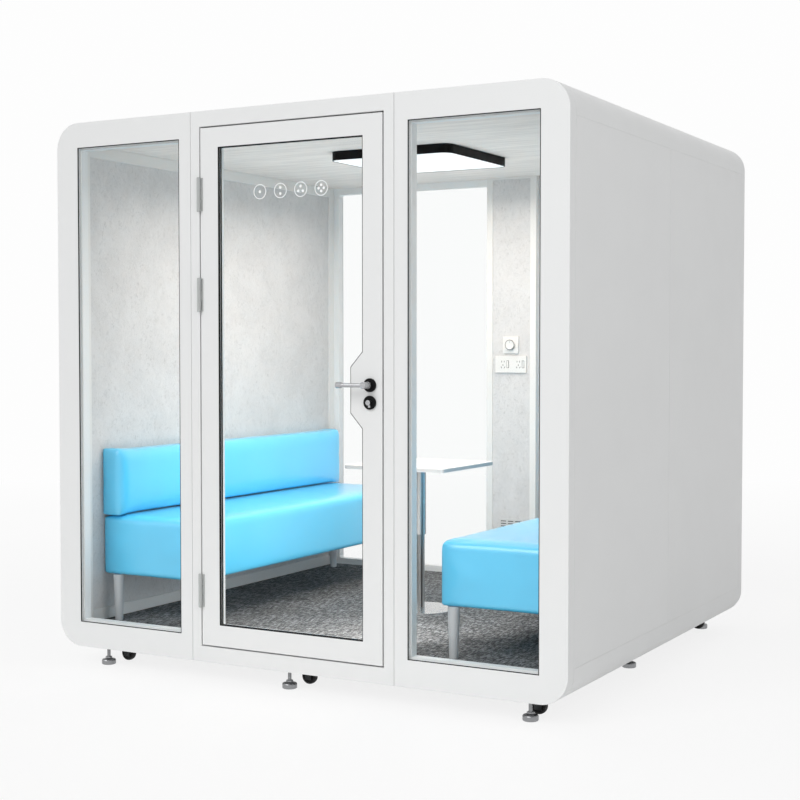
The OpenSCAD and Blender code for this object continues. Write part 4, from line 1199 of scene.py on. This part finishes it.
class BOOTH_OT_stage(BoothOperator):
    """Sets the floor, the light and the camera"""

    bl_idname = "booth.stage"
    bl_label = "Stage"

    def execute(self, context):
        stage = context.scene.booth_stage
        context.scene.view_settings.view_transform = "Standard"
        bpy.ops.mesh.primitive_plane_add(size=160)
        floor = bpy.context.object
        floor.name = "studio_floor"
        floor.data.materials.append(self.floor_paint())
        self.sky(context.scene, stage.sky)
        tilt, aside, breadth, lamp_spread = (math.radians(angle) for angle in (52, -14, 40, 148))
        bpy.ops.object.light_add(type="SUN", rotation=(tilt, 0, aside))
        sun = bpy.context.object
        sun.data.energy = stage.sun
        sun.data.angle = breadth
        low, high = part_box("light_diffuser")
        middle = (low + high) / 2
        under_lamp = (middle.x, middle.y, low.z - 6 * MM)
        glow = soft_light("ceiling_lamp", under_lamp, stage.lamp_size, stage.lamp, tint=(1, 0.91, 0.83))
        glow.data.spread = lamp_spread
        bpy.ops.object.light_add(type="POINT", radius=0.3, location=(middle.x, middle.y, stage.fill_z))
        fill = bpy.context.object
        fill.name = "room_fill"
        fill.data.energy = stage.fill
        fill.data.color = (1, 0.89, 0.78)
        fill.visible_camera = fill.visible_glossy = False
        near_door, left_seat = (0.3, -0.75, 0.47), (-0.6, 0.1, 0.45)
        soft_light("low_fill", near_door, 0.4, stage.low_fill, left_seat, tint=(1, 0.97, 0.94))
        soft_light("key_light", (4.2, -3.4, 2.6), 2.5, stage.key, target=(0, -0.4, 1.2))
        soft_light("back_light", (-4.2, 3.8, 2.6), 2.5, stage.back, target=(0, 0.4, 1.2))
        bpy.ops.object.camera_add(
            location=(stage.camera_x, -stage.camera_out, stage.camera_z),
            rotation=(math.pi / 2 + stage.pitch, 0, stage.yaw),
        )
        camera = bpy.context.object
        camera.data.lens = stage.lens
        camera.data.clip_end = 400
        context.scene.camera = camera
        return {"FINISHED"}

    def floor_paint(self):
        """Pale floor that the camera sees nearly white, with the object's shadow on it."""
        finish = Finish("studio floor", srgb(240, 240, 240), 0.9)
        glow = finish.node("ShaderNodeEmission", Color=(WHITE, WHITE, WHITE, 1), Strength=1.0)
        seen = seen_as_background(finish.tree)
        away = finish.node("ShaderNodeVectorMath")
        away.operation = "LENGTH"
        finish.feed(away.inputs[0], finish.places())
        share = finish.sum(seen, finish.between(away.outputs["Value"], 2.5, 9.0, 0.84, 1.0), "MULTIPLY")
        return finish.mixed(share, finish.shader, glow)

    def sky(self, scene, strength):
        """Even light that the camera, a mirror and clear glass see as white."""
        world = bpy.data.worlds.new("studio")
        scene.world = world
        world.use_nodes = True
        tree = world.node_tree
        back = tree.nodes["Background"]
        back.inputs["Color"].default_value = (1, 1, 1, 1)
        seen = seen_as_background(tree)
        either = tree.nodes.new("ShaderNodeMapRange")
        either.inputs["To Min"].default_value = strength
        either.inputs["To Max"].default_value = WHITE
        tree.links.new(seen, either.inputs["Value"])
        tree.links.new(either.outputs["Result"], back.inputs["Strength"])


STEPS = (
    BOOTH_OT_finishes,
    BOOTH_OT_soft_edges,
    BOOTH_OT_cushions,
    BOOTH_OT_levelling_feet,
    BOOTH_OT_transport_wheels,
    BOOTH_OT_seam_fillers,
    BOOTH_OT_table_edge,
    BOOTH_OT_door_glass_lip,
    BOOTH_OT_door_fittings,
    BOOTH_OT_vent_slot_shade,
    BOOTH_OT_glass_marks,
    BOOTH_OT_controls,
    BOOTH_OT_stage,
)


class BOOTH_PT_panel(bpy.types.Panel):
    """Lists the booth's operators"""

    bl_label = "Vocal booth"
    bl_idname = "BOOTH_PT_panel"
    bl_space_type = "VIEW_3D"
    bl_region_type = "UI"
    bl_category = "Booth"

    def draw(self, context):
        for step in STEPS:
            self.layout.operator(step.bl_idname)


GROUPS = {"booth_colours": BoothColours, "booth_sizes": BoothSizes, "booth_stage": BoothStage}


def register():
    for group in GROUPS.values():
        bpy.utils.register_class(group)
    for name, group in GROUPS.items():
        setattr(bpy.types.Scene, name, PointerProperty(type=group))
    for step in STEPS:
        bpy.utils.register_class(step)
    bpy.utils.register_class(BOOTH_PT_panel)


def unregister():
    bpy.utils.unregister_class(BOOTH_PT_panel)
    for step in reversed(STEPS):
        bpy.utils.unregister_class(step)
    for name in GROUPS:
        delattr(bpy.types.Scene, name)
    for group in GROUPS.values():
        bpy.utils.unregister_class(group)


def main():
    register()
    bpy.ops.object.select_all(action="DESELECT")
    for step in STEPS:
        area, name = step.bl_idname.split(".")
        getattr(getattr(bpy.ops, area), name)()


if __name__ == "__main__":
    main()
